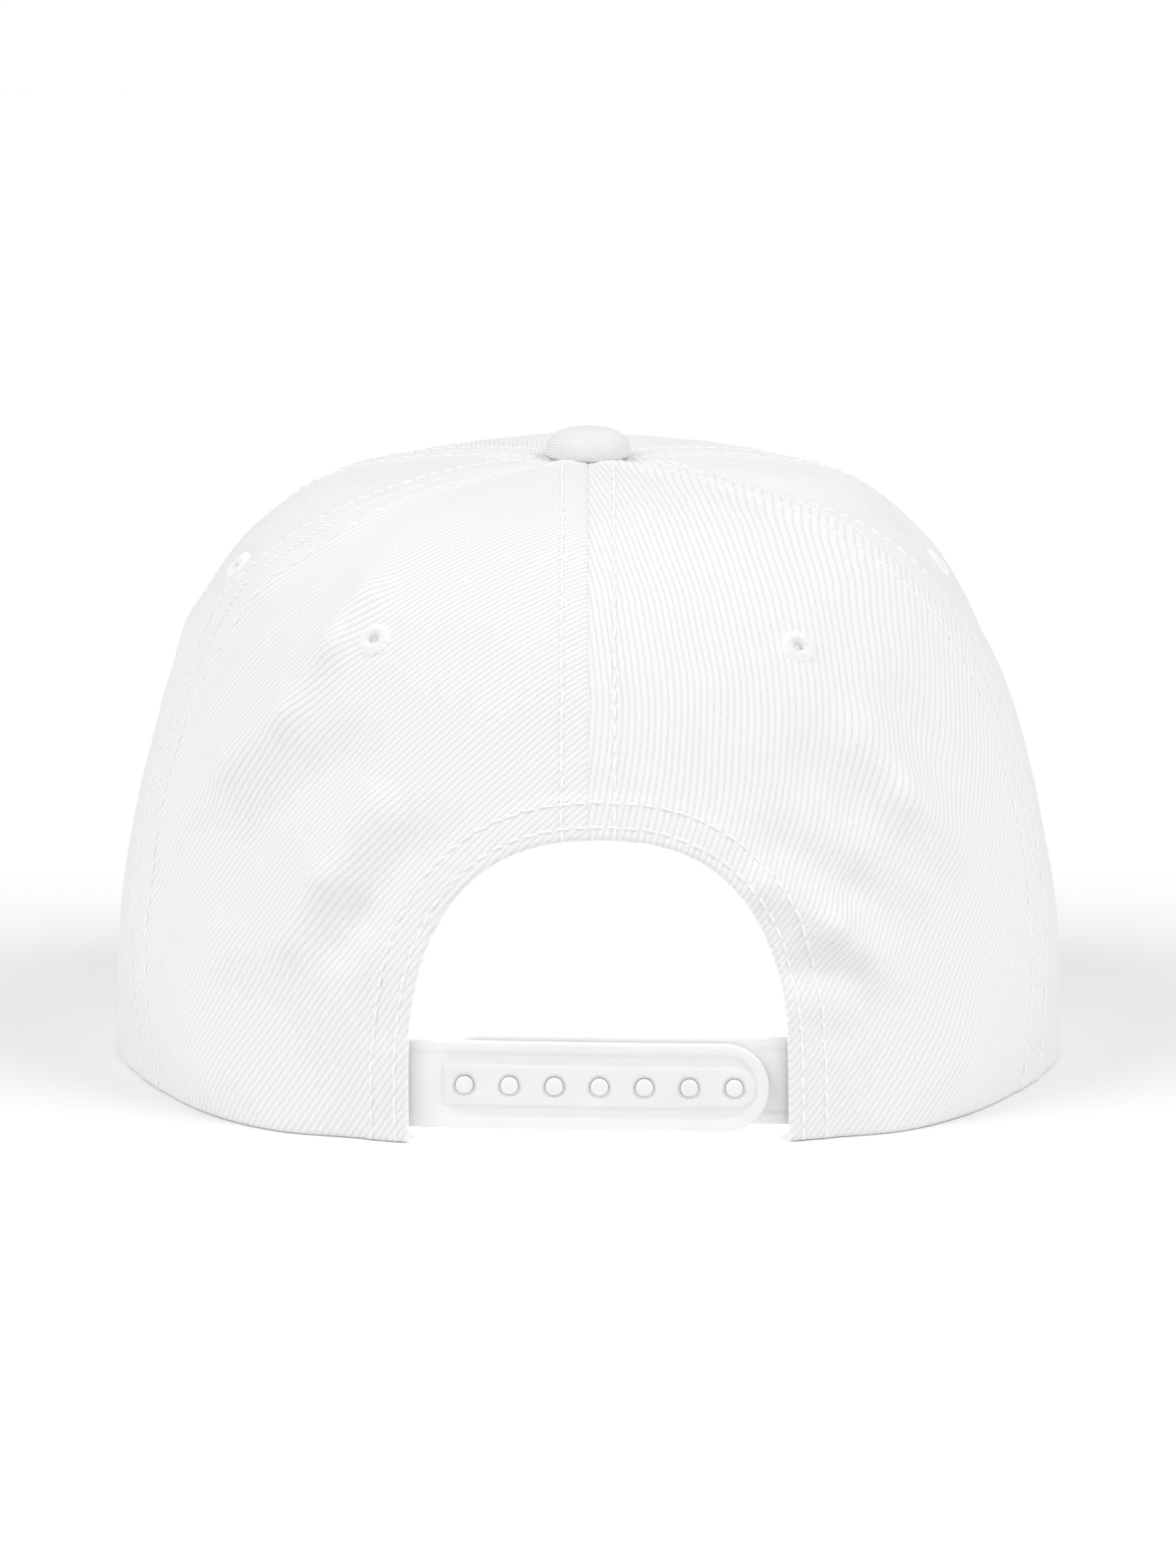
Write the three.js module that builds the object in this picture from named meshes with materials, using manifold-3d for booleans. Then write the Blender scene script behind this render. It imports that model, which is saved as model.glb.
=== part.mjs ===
// A six-panel snapback cap, resting on its rim: crown panels, covered top button, flat brim,
// sweatband, eyelets and the two plastic snap straps. Millimetres, +Z up, brim towards -Y, the
// wearer's left towards +X. The origin is the middle of the footprint on the floor.
import * as THREE from 'three';
import Module from 'manifold-3d';
import { mergeVertices } from 'three/addons/utils/BufferGeometryUtils.js';

const wasm = await Module();
wasm.setup();

// Crown
const CROWN_WIDTH = 182;
const CROWN_BACK = 88;
const CROWN_FRONT = 95;
const CROWN_HEIGHT = 115.4;
const CLOTH_THICKNESS = 1.8;
const FOLD_HEIGHT = 2.6;
const FOLD_WIDTH = 9;
const SLANT_SHARE = 1.3;
const CLEARANCE = 0.3;

// Back opening
const ARCH_HALF_WIDTH = 34.2;
const ARCH_HEIGHT = 54.8;
const ARCH_STRAIGHT = 11;
const ARCH_SQUARENESS = 2.45;
const ARCH_SHIFT = -1.9;
const ARCH_STEPS = 26;

// Top button
const BUTTON_DIAMETER = 16.6;
const BUTTON_HEIGHT = 4.3;
const BUTTON_FOOT_SHARE = 0.9;
const BUTTON_EDGE_SHARE = 0.28;
const BUTTON_FLATNESS = 0.8;
const BUTTON_FULLNESS = 0.9;
const SHANK_DIAMETER = 4.4;
const SHANK_REACH = 1.2;

// Brim
const BRIM_HALF_WIDTH = 92.5;
const BRIM_LENGTH = 69;
const BRIM_THICKNESS = 3.2;
const BRIM_LIFT = 7;
const BRIM_ROOT = 24;
const BRIM_SQUARENESS = 2.6;

// Sweatband
const BAND_HEIGHT = 31;
const BAND_THICKNESS = 1.2;
const BAND_STEP = 16;
const BAND_TAB_ROOM = 2.4;

// Snap straps
const STRAP_HEIGHT = 16.4;
const STRAP_THICKNESS = 1.3;
const STRAP_LEVEL = 10;
const STRAP_SLOPE = 0.014;
const STRAP_BOW = 1;
const STRAP_BEND = 0.6;
const TAB_LENGTH = 12;
const INNER_STRAP_RAISE = 1.1;
const OUTER_STRAP_END = 33;
const INNER_STRAP_PAST_PEG = 4.5;
const BORDER_WIDTH = 1.2;
const RELIEF_DEPTH = 0.5;
const BAR_HEIGHT = 7.1;
const BAR_PAST_HOLE = 3.7;
const HOLE_COUNT = 7;
const HOLE_PITCH = 8.18;
const HOLE_ROW_MIDDLE = -2.05;
const PEG_DIAMETER = 2.9;
const PEG_PROUD = 0.3;

// Embroidered eyelets
const EYELET_DIAMETER = 6.6;
const EYELET_HOLE = 1.8;
const EYELET_BARREL = 3.8;
const EYELET_RISE = 0.8;

// Level 0 is the rim and level 1 the button's hole. The rise is a share of the crown's height,
// side of its half width, back and front of its two depths; square is the plan's exponent.
const SECTIONS = [
  { level: 0.00, rise: 0.000, side: 1.000, back: 1.000, front: 1.000, square: 2.15 },
  { level: 0.08, rise: 0.090, side: 1.000, back: 1.000, front: 1.000, square: 2.15 },
  { level: 0.18, rise: 0.215, side: 0.990, back: 0.985, front: 1.000, square: 2.15 },
  { level: 0.28, rise: 0.340, side: 0.968, back: 0.955, front: 0.995, square: 2.15 },
  { level: 0.38, rise: 0.465, side: 0.934, back: 0.915, front: 0.985, square: 2.15 },
  { level: 0.48, rise: 0.590, side: 0.890, back: 0.860, front: 0.970, square: 2.15 },
  { level: 0.58, rise: 0.715, side: 0.832, back: 0.790, front: 0.945, square: 2.15 },
  { level: 0.67, rise: 0.812, side: 0.760, back: 0.705, front: 0.900, square: 2.15 },
  { level: 0.75, rise: 0.884, side: 0.670, back: 0.605, front: 0.825, square: 2.10 },
  { level: 0.83, rise: 0.940, side: 0.540, back: 0.485, front: 0.700, square: 2.10 },
  { level: 0.91, rise: 0.976, side: 0.325, back: 0.300, front: 0.480, square: 2.00 },
  { level: 1.00, rise: 1.000, side: 0.000, back: 0.000, front: 0.000, square: 2.00 },
];

// Plan angle in degrees of the rear and the fore seam of a side panel, from the middle of the back.
const SEAMS = [
  { level: 0.00, rear: 66.0, fore: 117 },
  { level: 0.15, rear: 68.5, fore: 118 },
  { level: 0.35, rear: 71.0, fore: 120 },
  { level: 0.50, rear: 70.5, fore: 121 },
  { level: 0.70, rear: 64.0, fore: 121 },
  { level: 0.85, rear: 57.5, fore: 120 },
  { level: 1.00, rear: 55.0, fore: 120 },
];

// Folds and dents of the cloth: each runs from one plan angle and level to another, wearer's left
// positive. The height is a share of FOLD_HEIGHT, below 0 a dent, and the width of FOLD_WIDTH.
const FOLDS = [
  { fromAngle: 41, fromLevel: 0.70, toAngle: 58, toLevel: 0.43, height: 0.75, width: 0.75 },
  { fromAngle: 38, fromLevel: 0.57, toAngle: 46, toLevel: 0.45, height: -0.80, width: 1.00 },
  { fromAngle: 33, fromLevel: 0.46, toAngle: 39, toLevel: 0.32, height: 0.60, width: 0.75 },
  { fromAngle: 40, fromLevel: 0.31, toAngle: 54, toLevel: 0.23, height: 0.70, width: 0.85 },
  { fromAngle: 30, fromLevel: 0.37, toAngle: 27, toLevel: 0.22, height: -0.80, width: 0.90 },
  { fromAngle: 33, fromLevel: 0.24, toAngle: 30, toLevel: 0.20, height: 0.50, width: 0.70 },
  { fromAngle: 55, fromLevel: 0.36, toAngle: 62, toLevel: 0.28, height: -0.45, width: 0.90 },
  { fromAngle: 62, fromLevel: 0.68, toAngle: 85, toLevel: 0.59, height: 0.35, width: 0.70 },
  { fromAngle: -33, fromLevel: 0.51, toAngle: -38, toLevel: 0.43, height: -0.70, width: 0.95 },
  { fromAngle: -43, fromLevel: 0.54, toAngle: -54, toLevel: 0.39, height: 0.65, width: 0.70 },
  { fromAngle: -44, fromLevel: 0.35, toAngle: -50, toLevel: 0.33, height: -0.75, width: 1.00 },
  { fromAngle: -25, fromLevel: 0.37, toAngle: -37, toLevel: 0.30, height: 0.60, width: 0.70 },
  { fromAngle: -38, fromLevel: 0.28, toAngle: -48, toLevel: 0.24, height: 0.55, width: 0.90 },
  { fromAngle: -27, fromLevel: 0.28, toAngle: -33, toLevel: 0.24, height: -0.75, width: 0.80 },
  { fromAngle: -33, fromLevel: 0.22, toAngle: -30, toLevel: 0.20, height: 0.45, width: 0.65 },
  { fromAngle: -66, fromLevel: 0.88, toAngle: -100, toLevel: 0.72, height: -1.00, width: 1.15 },
  { fromAngle: -78, fromLevel: 0.66, toAngle: -96, toLevel: 0.60, height: -0.70, width: 1.40 },
  { fromAngle: 38, fromLevel: 0.00, toAngle: 46, toLevel: 0.07, height: 1.00, width: 1.30 },
  { fromAngle: -38, fromLevel: 0.00, toAngle: -46, toLevel: 0.07, height: 1.25, width: 1.40 },
  { fromAngle: 67, fromLevel: 0.00, toAngle: 71, toLevel: 0.06, height: -0.75, width: 1.80 },
  { fromAngle: -68, fromLevel: 0.00, toAngle: -70, toLevel: 0.06, height: -0.45, width: 1.60 },
];

// Eyelets by plan angle and level.
const EYELETS = [
  { node: 'eyelet_back_left', angle: 34, level: 0.626 },
  { node: 'eyelet_back_right', angle: -33, level: 0.617 },
  { node: 'eyelet_side_left', angle: 75, level: 0.690 },
  { node: 'eyelet_side_right', angle: -85, level: 0.690 },
  { node: 'eyelet_front_left', angle: 148, level: 0.690 },
  { node: 'eyelet_front_right', angle: -148, level: 0.690 },
];

// How finely the faceted pieces are divided
const LEVEL_STEPS = 21;
const BACK_COLUMNS = 14;
const SIDE_COLUMNS = 9;
const FRONT_COLUMNS = 8;
const BRIM_STEPS = [40, 4];
const BAND_STEPS = [60, 4];
const STRAP_STEP = 6;
const ROUND_STEPS = 7;
const EYELET_SIDES = 12;
const PIN_SIDES = 14;
const BUTTON_SIDES = 24;
const BUTTON_STEPS = 7;

const EYE_RADIUS = SHANK_DIAMETER / 2 + CLEARANCE;
const COLOURS = { cloth: 0xf3f3f1, thread: 0xf8f8f6, lining: 0xe9e9e6, plastic: 0xf4f4f2 };

// Looks of the cap's materials.
function finish(colour, roughness) {
  return new THREE.MeshStandardMaterial({ color: colour, roughness, metalness: 0 });
}

// A table's column at a level, on a cubic that never overshoots its rows.
function columnAt(rows, column, level) {
  const last = rows.length - 2;
  const upper = rows.findIndex((row) => row.level > level);
  const start = upper < 0 ? last : Math.max(upper - 1, 0);
  const slope = (index) => {
    const run = rows[index + 1].level - rows[index].level;
    return (rows[index + 1][column] - rows[index][column]) / run;
  };
  const tangent = (index) => {
    if (index === 0) return slope(0);
    if (index > last) return slope(last);
    const before = slope(index - 1);
    const after = slope(index);
    return before * after > 0 ? (2 * before * after) / (before + after) : 0;
  };
  const run = rows[start + 1].level - rows[start].level;
  const share = (level - rows[start].level) / run;
  const rest = 1 - share;
  return (1 + 2 * share) * rest ** 2 * rows[start][column]
    + share * rest ** 2 * run * tangent(start)
    + share ** 2 * (3 - 2 * share) * rows[start + 1][column]
    - share ** 2 * rest * run * tangent(start + 1);
}

// How far the cap's lower edge stands up at a distance from the middle of the brim.
function brimLift(x) {
  const share = Math.min(Math.abs(x) / (CROWN_WIDTH / 2), 1);
  return BRIM_LIFT * (1 - share ** 2) ** 1.5;
}

// Distance from the crown's axis to its smooth outer face.
function crownRadius(angle, level) {
  const square = columnAt(SECTIONS, 'square', level);
  const across = EYE_RADIUS + (CROWN_WIDTH / 2 - EYE_RADIUS) * columnAt(SECTIONS, 'side', level);
  const depth = Math.cos(angle) > 0 ? CROWN_BACK : CROWN_FRONT;
  const share = columnAt(SECTIONS, Math.cos(angle) > 0 ? 'back' : 'front', level);
  const along = EYE_RADIUS + (depth - EYE_RADIUS) * share;
  const sum = (Math.abs(Math.sin(angle)) / across) ** square + (Math.abs(Math.cos(angle)) / along) ** square;
  return sum ** (-1 / square);
}

function smoothPoint(angle, level) {
  const radius = crownRadius(angle, level);
  const rise = columnAt(SECTIONS, 'rise', level);
  const rim = Math.cos(angle) < 0 ? brimLift(crownRadius(angle, 0) * Math.sin(angle)) : 0;
  const height = CROWN_HEIGHT * rise + rim * (1 - rise) ** 2;
  return new THREE.Vector3(radius * Math.sin(angle), radius * Math.cos(angle), height);
}

function crownNormal(angle, level) {
  const step = 1e-3;
  const below = Math.max(level - step, 0);
  const above = Math.min(level + step, 1);
  const around = smoothPoint(angle + step, level).sub(smoothPoint(angle - step, level));
  const up = smoothPoint(angle, above).sub(smoothPoint(angle, below));
  return up.cross(around).normalize();
}

// Height of all the folds at a place, each a rounded ridge that fades out past its two ends.
function foldHeight(angle, level) {
  const around = CROWN_WIDTH / 2;
  const slant = CROWN_HEIGHT * SLANT_SHARE;
  let height = 0;
  for (const fold of FOLDS) {
    const startX = THREE.MathUtils.degToRad(fold.fromAngle) * around;
    const startY = fold.fromLevel * slant;
    const runX = THREE.MathUtils.degToRad(fold.toAngle) * around - startX;
    const runY = fold.toLevel * slant - startY;
    const offX = angle * around - startX;
    const offY = level * slant - startY;
    const share = THREE.MathUtils.clamp((offX * runX + offY * runY) / (runX ** 2 + runY ** 2), 0, 1);
    const distance = Math.hypot(offX - share * runX, offY - share * runY);
    height += FOLD_HEIGHT * fold.height * Math.exp(-((distance / (FOLD_WIDTH * fold.width)) ** 2));
  }
  return height;
}

// A point of the crown's wall, with its folds, at a depth under the outer face.
function crownPoint(angle, level, depth) {
  const wrapped = Math.atan2(Math.sin(angle), Math.cos(angle));
  const offset = foldHeight(wrapped, level) - depth;
  return smoothPoint(angle, level).addScaledVector(crownNormal(angle, level), offset);
}

// Level of the back wall at a height.
function levelAtHeight(height) {
  let low = 0;
  let high = 1;
  for (let step = 0; step < 30; step += 1) {
    const middle = (low + high) / 2;
    if (CROWN_HEIGHT * columnAt(SECTIONS, 'rise', middle) < height) low = middle;
    else high = middle;
  }
  return (low + high) / 2;
}

// A closed solid between an outer and an inner grid of points, given by functions of two shares.
function shell(columns, rows, outer, inner) {
  const positions = [];
  const faces = [];
  const sheet = (columns + 1) * (rows + 1);
  for (const point of [outer, inner]) {
    for (let row = 0; row <= rows; row += 1) {
      for (let column = 0; column <= columns; column += 1) {
        positions.push(...point(column / columns, row / rows).toArray());
      }
    }
  }
  const at = (side, column, row) => side * sheet + row * (columns + 1) + column;
  const quad = (a, b, c, d) => faces.push(a, b, c, a, c, d);
  for (let row = 0; row < rows; row += 1) {
    for (let column = 0; column < columns; column += 1) {
      quad(at(0, column, row), at(0, column + 1, row), at(0, column + 1, row + 1), at(0, column, row + 1));
      quad(at(1, column, row), at(1, column, row + 1), at(1, column + 1, row + 1), at(1, column + 1, row));
    }
    quad(at(0, 0, row), at(0, 0, row + 1), at(1, 0, row + 1), at(1, 0, row));
    quad(at(0, columns, row), at(1, columns, row), at(1, columns, row + 1), at(0, columns, row + 1));
  }
  for (let column = 0; column < columns; column += 1) {
    quad(at(0, column, 0), at(1, column, 0), at(1, column + 1, 0), at(0, column + 1, 0));
    quad(at(0, column, rows), at(0, column + 1, rows), at(1, column + 1, rows), at(1, column, rows));
  }
  const geometry = new THREE.BufferGeometry();
  geometry.setAttribute('position', new THREE.Float32BufferAttribute(positions, 3));
  geometry.setIndex(faces);
  return geometry;
}

// Signed volume, to see which way a closed geometry's faces point.
function signedVolume(geometry) {
  const position = geometry.getAttribute('position');
  const index = geometry.getIndex();
  const corner = (place) => new THREE.Vector3().fromBufferAttribute(position, index.getX(place));
  let volume = 0;
  for (let place = 0; place < index.count; place += 3) {
    volume += corner(place).dot(corner(place + 1).cross(corner(place + 2))) / 6;
  }
  return volume;
}

// A solid for cuts and joins, from any closed geometry.
function solidFrom(geometry) {
  const bare = geometry.clone();
  bare.deleteAttribute('normal');
  bare.deleteAttribute('uv');
  const merged = mergeVertices(bare, 1e-4);
  const index = Uint32Array.from(merged.getIndex().array);
  if (signedVolume(merged) < 0) index.reverse();
  const vertProperties = Float32Array.from(merged.getAttribute('position').array);
  return new wasm.Manifold(new wasm.Mesh({ numProp: 3, vertProperties, triVerts: index }));
}

function geometryFrom(solid) {
  const mesh = solid.getMesh();
  const geometry = new THREE.BufferGeometry();
  geometry.setAttribute('position', new THREE.Float32BufferAttribute(mesh.vertProperties, 3));
  geometry.setIndex(Array.from(mesh.triVerts));
  geometry.computeVertexNormals();
  return geometry;
}

function part(name, solid, material) {
  const mesh = new THREE.Mesh(geometryFrom(solid), material);
  mesh.name = name;
  return mesh;
}

// The plan angle of a seam, moved aside by half the gap between two panels.
function seamAngle(seam, level, side) {
  const angle = seam.sign * THREE.MathUtils.degToRad(
    seam.column ? columnAt(SEAMS, seam.column, level) : seam.degrees,
  );
  return angle + (side * CLEARANCE) / 2 / crownRadius(angle, level);
}

const BACK_SEAM = { sign: 1, degrees: 0 };
const FRONT_SEAM = { sign: 1, degrees: 180 };
const REAR_LEFT = { sign: 1, column: 'rear' };
const FORE_LEFT = { sign: 1, column: 'fore' };
const REAR_RIGHT = { sign: -1, column: 'rear' };
const FORE_RIGHT = { sign: -1, column: 'fore' };
const FRONT_SEAM_RIGHT = { sign: -1, degrees: 180 };

// A crown panel between two seams, from the rim to the button's hole.
function panelSolid(start, end, columns) {
  const face = (depth) => (across, up) => {
    const first = seamAngle(start, up, 1);
    const last = seamAngle(end, up, -1);
    return crownPoint(first + (last - first) * across, up, depth);
  };
  return solidFrom(shell(columns, LEVEL_STEPS, face(0), face(CLOTH_THICKNESS)));
}

// The back opening as a block with an arched top, through the back wall, widened by a margin.
function archCutter(margin) {
  const outline = new THREE.Shape();
  const halfWidth = ARCH_HALF_WIDTH + margin;
  outline.moveTo(ARCH_SHIFT - halfWidth, -BRIM_THICKNESS);
  for (let step = 0; step <= ARCH_STEPS; step += 1) {
    const turn = Math.PI * (1 - step / ARCH_STEPS);
    const across = Math.sign(Math.cos(turn)) * Math.abs(Math.cos(turn)) ** (2 / ARCH_SQUARENESS);
    const up = Math.sin(turn) ** (2 / ARCH_SQUARENESS);
    const height = ARCH_STRAIGHT + (ARCH_HEIGHT - ARCH_STRAIGHT) * up;
    outline.lineTo(ARCH_SHIFT + halfWidth * across, height + margin);
  }
  outline.lineTo(ARCH_SHIFT + halfWidth, -BRIM_THICKNESS);
  const block = new THREE.ExtrudeGeometry(outline, { depth: CROWN_BACK, bevelEnabled: false });
  block.rotateX(Math.PI / 2);
  block.translate(0, CROWN_BACK + CROWN_BACK / 2, 0);
  return solidFrom(block);
}

// Turns and places a lathed piece on the crown, its axis along the wall's normal.
function placeOnCrown(geometry, angle, level) {
  const axis = crownNormal(angle, level);
  const turn = new THREE.Quaternion().setFromUnitVectors(new THREE.Vector3(0, 1, 0), axis);
  geometry.applyQuaternion(turn);
  geometry.translate(...crownPoint(angle, level, 0).toArray());
  return geometry;
}

function lathe(profile, sides) {
  return new THREE.LatheGeometry(profile.map(([radius, height]) => new THREE.Vector2(radius, height)), sides);
}

// A ring of thread round a small hole, with a barrel that lines the cloth.
function eyeletGeometry() {
  const hole = EYELET_HOLE / 2;
  const barrel = EYELET_BARREL / 2;
  const outer = EYELET_DIAMETER / 2;
  const middle = (hole + outer) / 2;
  return lathe([
    [hole, -CLOTH_THICKNESS], [barrel, -CLOTH_THICKNESS], [barrel, CLEARANCE], [outer, CLEARANCE],
    [outer, EYELET_RISE / 2], [middle, EYELET_RISE], [hole, EYELET_RISE / 2], [hole, -CLOTH_THICKNESS],
  ], EYELET_SIDES);
}

function eyeletCutter() {
  const radius = EYELET_BARREL / 2 + CLEARANCE;
  const reach = CLOTH_THICKNESS + FOLD_HEIGHT;
  return new THREE.CylinderGeometry(radius, radius, reach * 2, EYELET_SIDES);
}

// A domed button on a short shank that passes through the hole where the panels meet.
function buttonSolid() {
  const radius = BUTTON_DIAMETER / 2;
  const shank = SHANK_DIAMETER / 2;
  const foot = CROWN_HEIGHT + CLEARANCE;
  const tip = CROWN_HEIGHT - CLOTH_THICKNESS - SHANK_REACH;
  const profile = [[0, tip], [shank, tip], [shank, foot], [radius * BUTTON_FOOT_SHARE, foot]];
  profile.push([radius, foot + BUTTON_HEIGHT * BUTTON_EDGE_SHARE]);
  for (let step = 1; step < BUTTON_STEPS; step += 1) {
    const turn = (Math.PI / 2) * (step / BUTTON_STEPS);
    const rise = BUTTON_EDGE_SHARE + (1 - BUTTON_EDGE_SHARE) * Math.sin(turn) ** BUTTON_FULLNESS;
    profile.push([radius * Math.cos(turn) ** BUTTON_FLATNESS, foot + BUTTON_HEIGHT * rise]);
  }
  profile.push([0, foot + BUTTON_HEIGHT]);
  const geometry = lathe(profile, BUTTON_SIDES);
  geometry.rotateX(Math.PI / 2);
  return solidFrom(geometry);
}

// The brim's outer edge in plan, from the wearer's right root to the left one.
function brimEdge(share) {
  const turn = Math.PI * (share - 0.5);
  const across = Math.sign(Math.sin(turn)) * Math.abs(Math.sin(turn)) ** (2 / BRIM_SQUARENESS);
  const along = Math.abs(Math.cos(turn)) ** (2 / BRIM_SQUARENESS);
  const reach = CROWN_FRONT + BRIM_LENGTH - BRIM_ROOT;
  return new THREE.Vector2(BRIM_HALF_WIDTH * across, -BRIM_ROOT - reach * along);
}

// A flat board with a slight arch across it, sewn round the front of the crown.
function brimSolid() {
  const root = Math.PI / 2 + Math.asin(BRIM_ROOT / CROWN_FRONT);
  const face = (height) => (across, out) => {
    const angle = -root - (2 * Math.PI - 2 * root) * across;
    const inner = crownPoint(angle, 0, -CLEARANCE);
    const outer = brimEdge(across);
    const x = THREE.MathUtils.lerp(inner.x, outer.x, out);
    const y = THREE.MathUtils.lerp(inner.y, outer.y, out);
    return new THREE.Vector3(x, y, brimLift(x) + height);
  };
  return solidFrom(shell(...BRIM_STEPS, face(BRIM_THICKNESS), face(0)));
}

// Depth of the sweatband's outer face: it steps inwards where it covers a strap's tab.
function bandDepth(angle) {
  const side = Math.sign(angle);
  const tabEnd = ARCH_SHIFT * side + ARCH_HALF_WIDTH + TAB_LENGTH;
  const past = (Math.abs(angle) * CROWN_BACK - tabEnd) / BAND_STEP;
  const cover = 1 - THREE.MathUtils.smoothstep(past, 0, 1);
  return CLOTH_THICKNESS + 2 * CLEARANCE + cover * (STRAP_THICKNESS + BAND_TAB_ROOM);
}

// The band inside the rim, from one side of the back opening round the front to the other.
function bandSolid() {
  const top = levelAtHeight(BAND_HEIGHT);
  const start = Math.atan2(ARCH_HALF_WIDTH, CROWN_BACK) / 2;
  const face = (extra) => (across, up) => {
    const angle = THREE.MathUtils.lerp(start, 2 * Math.PI - start, across);
    const wrapped = Math.atan2(Math.sin(angle), Math.cos(angle));
    return crownPoint(angle, up * top, bandDepth(wrapped) + extra);
  };
  const band = solidFrom(shell(...BAND_STEPS, face(0), face(BAND_THICKNESS)));
  return band.subtract(archCutter(BAND_THICKNESS));
}

// Where the inner face of the back wall lies at a distance from the middle, over a strap's height.
function wallInnerY(x) {
  const half = STRAP_HEIGHT / 2;
  const places = [-half, 0, half + INNER_STRAP_RAISE].map((above) => {
    const level = levelAtHeight(STRAP_LEVEL + above);
    let low = 0;
    let high = Math.PI / 2;
    for (let step = 0; step < 24; step += 1) {
      const middle = (low + high) / 2;
      const point = crownPoint(middle * Math.sign(x || 1), level, CLOTH_THICKNESS);
      if (Math.abs(point.x) < Math.abs(x)) low = middle;
      else high = middle;
    }
    return crownPoint(low * Math.sign(x || 1), level, CLOTH_THICKNESS).y;
  });
  return Math.min(...places);
}

const LEFT_EDGE = ARCH_SHIFT + ARCH_HALF_WIDTH;
const RIGHT_EDGE = ARCH_SHIFT - ARCH_HALF_WIDTH;
const LEFT_WALL = wallInnerY(LEFT_EDGE) - CLEARANCE;
const RIGHT_WALL = wallInnerY(RIGHT_EDGE) - CLEARANCE;

// The line on which the two straps meet: the outer one leaves the left wall, and the inner one
// the right wall, so the line runs one strap's thickness from wall to wall, with a slight bow.
function meetingY(x) {
  const share = (x - RIGHT_EDGE) / (LEFT_EDGE - RIGHT_EDGE);
  const bow = STRAP_BOW * 4 * share * (1 - share);
  return RIGHT_WALL + (LEFT_WALL - STRAP_THICKNESS - RIGHT_WALL) * share + bow;
}

// Outer face of a strap in plan: the meeting line and an offset, bent smoothly behind the wall on
// the side (1 left, -1 right) where the strap's tab is sewn in.
function strapY(x, { offset, side }) {
  const line = meetingY(x) + offset;
  if (x * side <= 0) return line;
  const wall = wallInnerY(x) - CLEARANCE;
  return (line + wall - Math.hypot(line - wall, STRAP_BEND)) / 2;
}

// A slab bent along a strap: from one x to another, between two heights and two depths in from
// the strap's outer face. A half circle closes it at its last x.
function strapSlab({ from, to, height, middle, shallow, deep, line }) {
  const towards = Math.sign(to - from);
  const centre = to - (towards * height) / 2;
  const straight = Math.max(Math.round(Math.abs(to - from) / STRAP_STEP), 1);
  const places = [];
  for (let step = 0; step <= straight; step += 1) {
    places.push({ x: from + ((centre - from) * step) / straight, half: height / 2 });
  }
  for (let step = 1; step <= ROUND_STEPS; step += 1) {
    const turn = (Math.PI / 2) * (step / (ROUND_STEPS + 0.4));
    places.push({ x: centre + (towards * height * Math.sin(turn)) / 2, half: (height * Math.cos(turn)) / 2 });
  }
  const columns = places.length - 1;
  const face = (depth) => (across, up) => {
    const { x, half } = places[Math.round(across * columns)];
    const slope = strapY(x + 0.5, line) - strapY(x - 0.5, line);
    const normal = new THREE.Vector3(-slope, 1, 0).normalize();
    const z = middle + STRAP_SLOPE * x + half * (2 * up - 1);
    return new THREE.Vector3(x, strapY(x, line), z).addScaledVector(normal, -depth);
  };
  return solidFrom(shell(columns, 1, face(shallow), face(deep)));
}

const HOLES = Array.from({ length: HOLE_COUNT }, (unused, index) => {
  const x = HOLE_ROW_MIDDLE + (index - (HOLE_COUNT - 1) / 2) * HOLE_PITCH;
  return { x, z: STRAP_LEVEL + STRAP_SLOPE * x };
});

// A round pin through both straps at a hole.
function pin(hole, radius, from, to) {
  const geometry = new THREE.CylinderGeometry(radius, radius, to - from, PIN_SIDES);
  geometry.translate(hole.x, (from + to) / 2, hole.z);
  return solidFrom(geometry);
}

// The wearer's left strap, on the outside: a raised border and a raised bar with the snap holes.
function outerStrapSolid() {
  const line = { offset: STRAP_THICKNESS, side: 1 };
  const end = -OUTER_STRAP_END;
  const start = LEFT_EDGE + TAB_LENGTH;
  const shape = { from: start, to: end, middle: STRAP_LEVEL, line };
  const deep = STRAP_THICKNESS - CLEARANCE / 2;
  let strap = strapSlab({ ...shape, height: STRAP_HEIGHT, shallow: 0, deep });
  const inset = { ...shape, from: start + BORDER_WIDTH, to: end + BORDER_WIDTH };
  const hollow = { height: STRAP_HEIGHT - 2 * BORDER_WIDTH, shallow: -STRAP_THICKNESS, deep: RELIEF_DEPTH };
  const recess = strapSlab({ ...inset, ...hollow });
  const first = HOLES[HOLE_COUNT - 1].x + BAR_PAST_HOLE;
  const last = HOLES[0].x - BAR_PAST_HOLE;
  const through = { shallow: -2 * STRAP_THICKNESS, deep: 2 * STRAP_THICKNESS };
  const bar = { ...shape, ...through, from: first, to: last, height: BAR_HEIGHT };
  strap = strap.subtract(recess.subtract(strapSlab(bar)));
  for (const hole of HOLES) {
    const y = meetingY(hole.x);
    const bore = pin(hole, PEG_DIAMETER / 2 + CLEARANCE, y - STRAP_THICKNESS, y + 2 * STRAP_THICKNESS);
    strap = strap.subtract(bore);
  }
  return strap;
}

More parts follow.
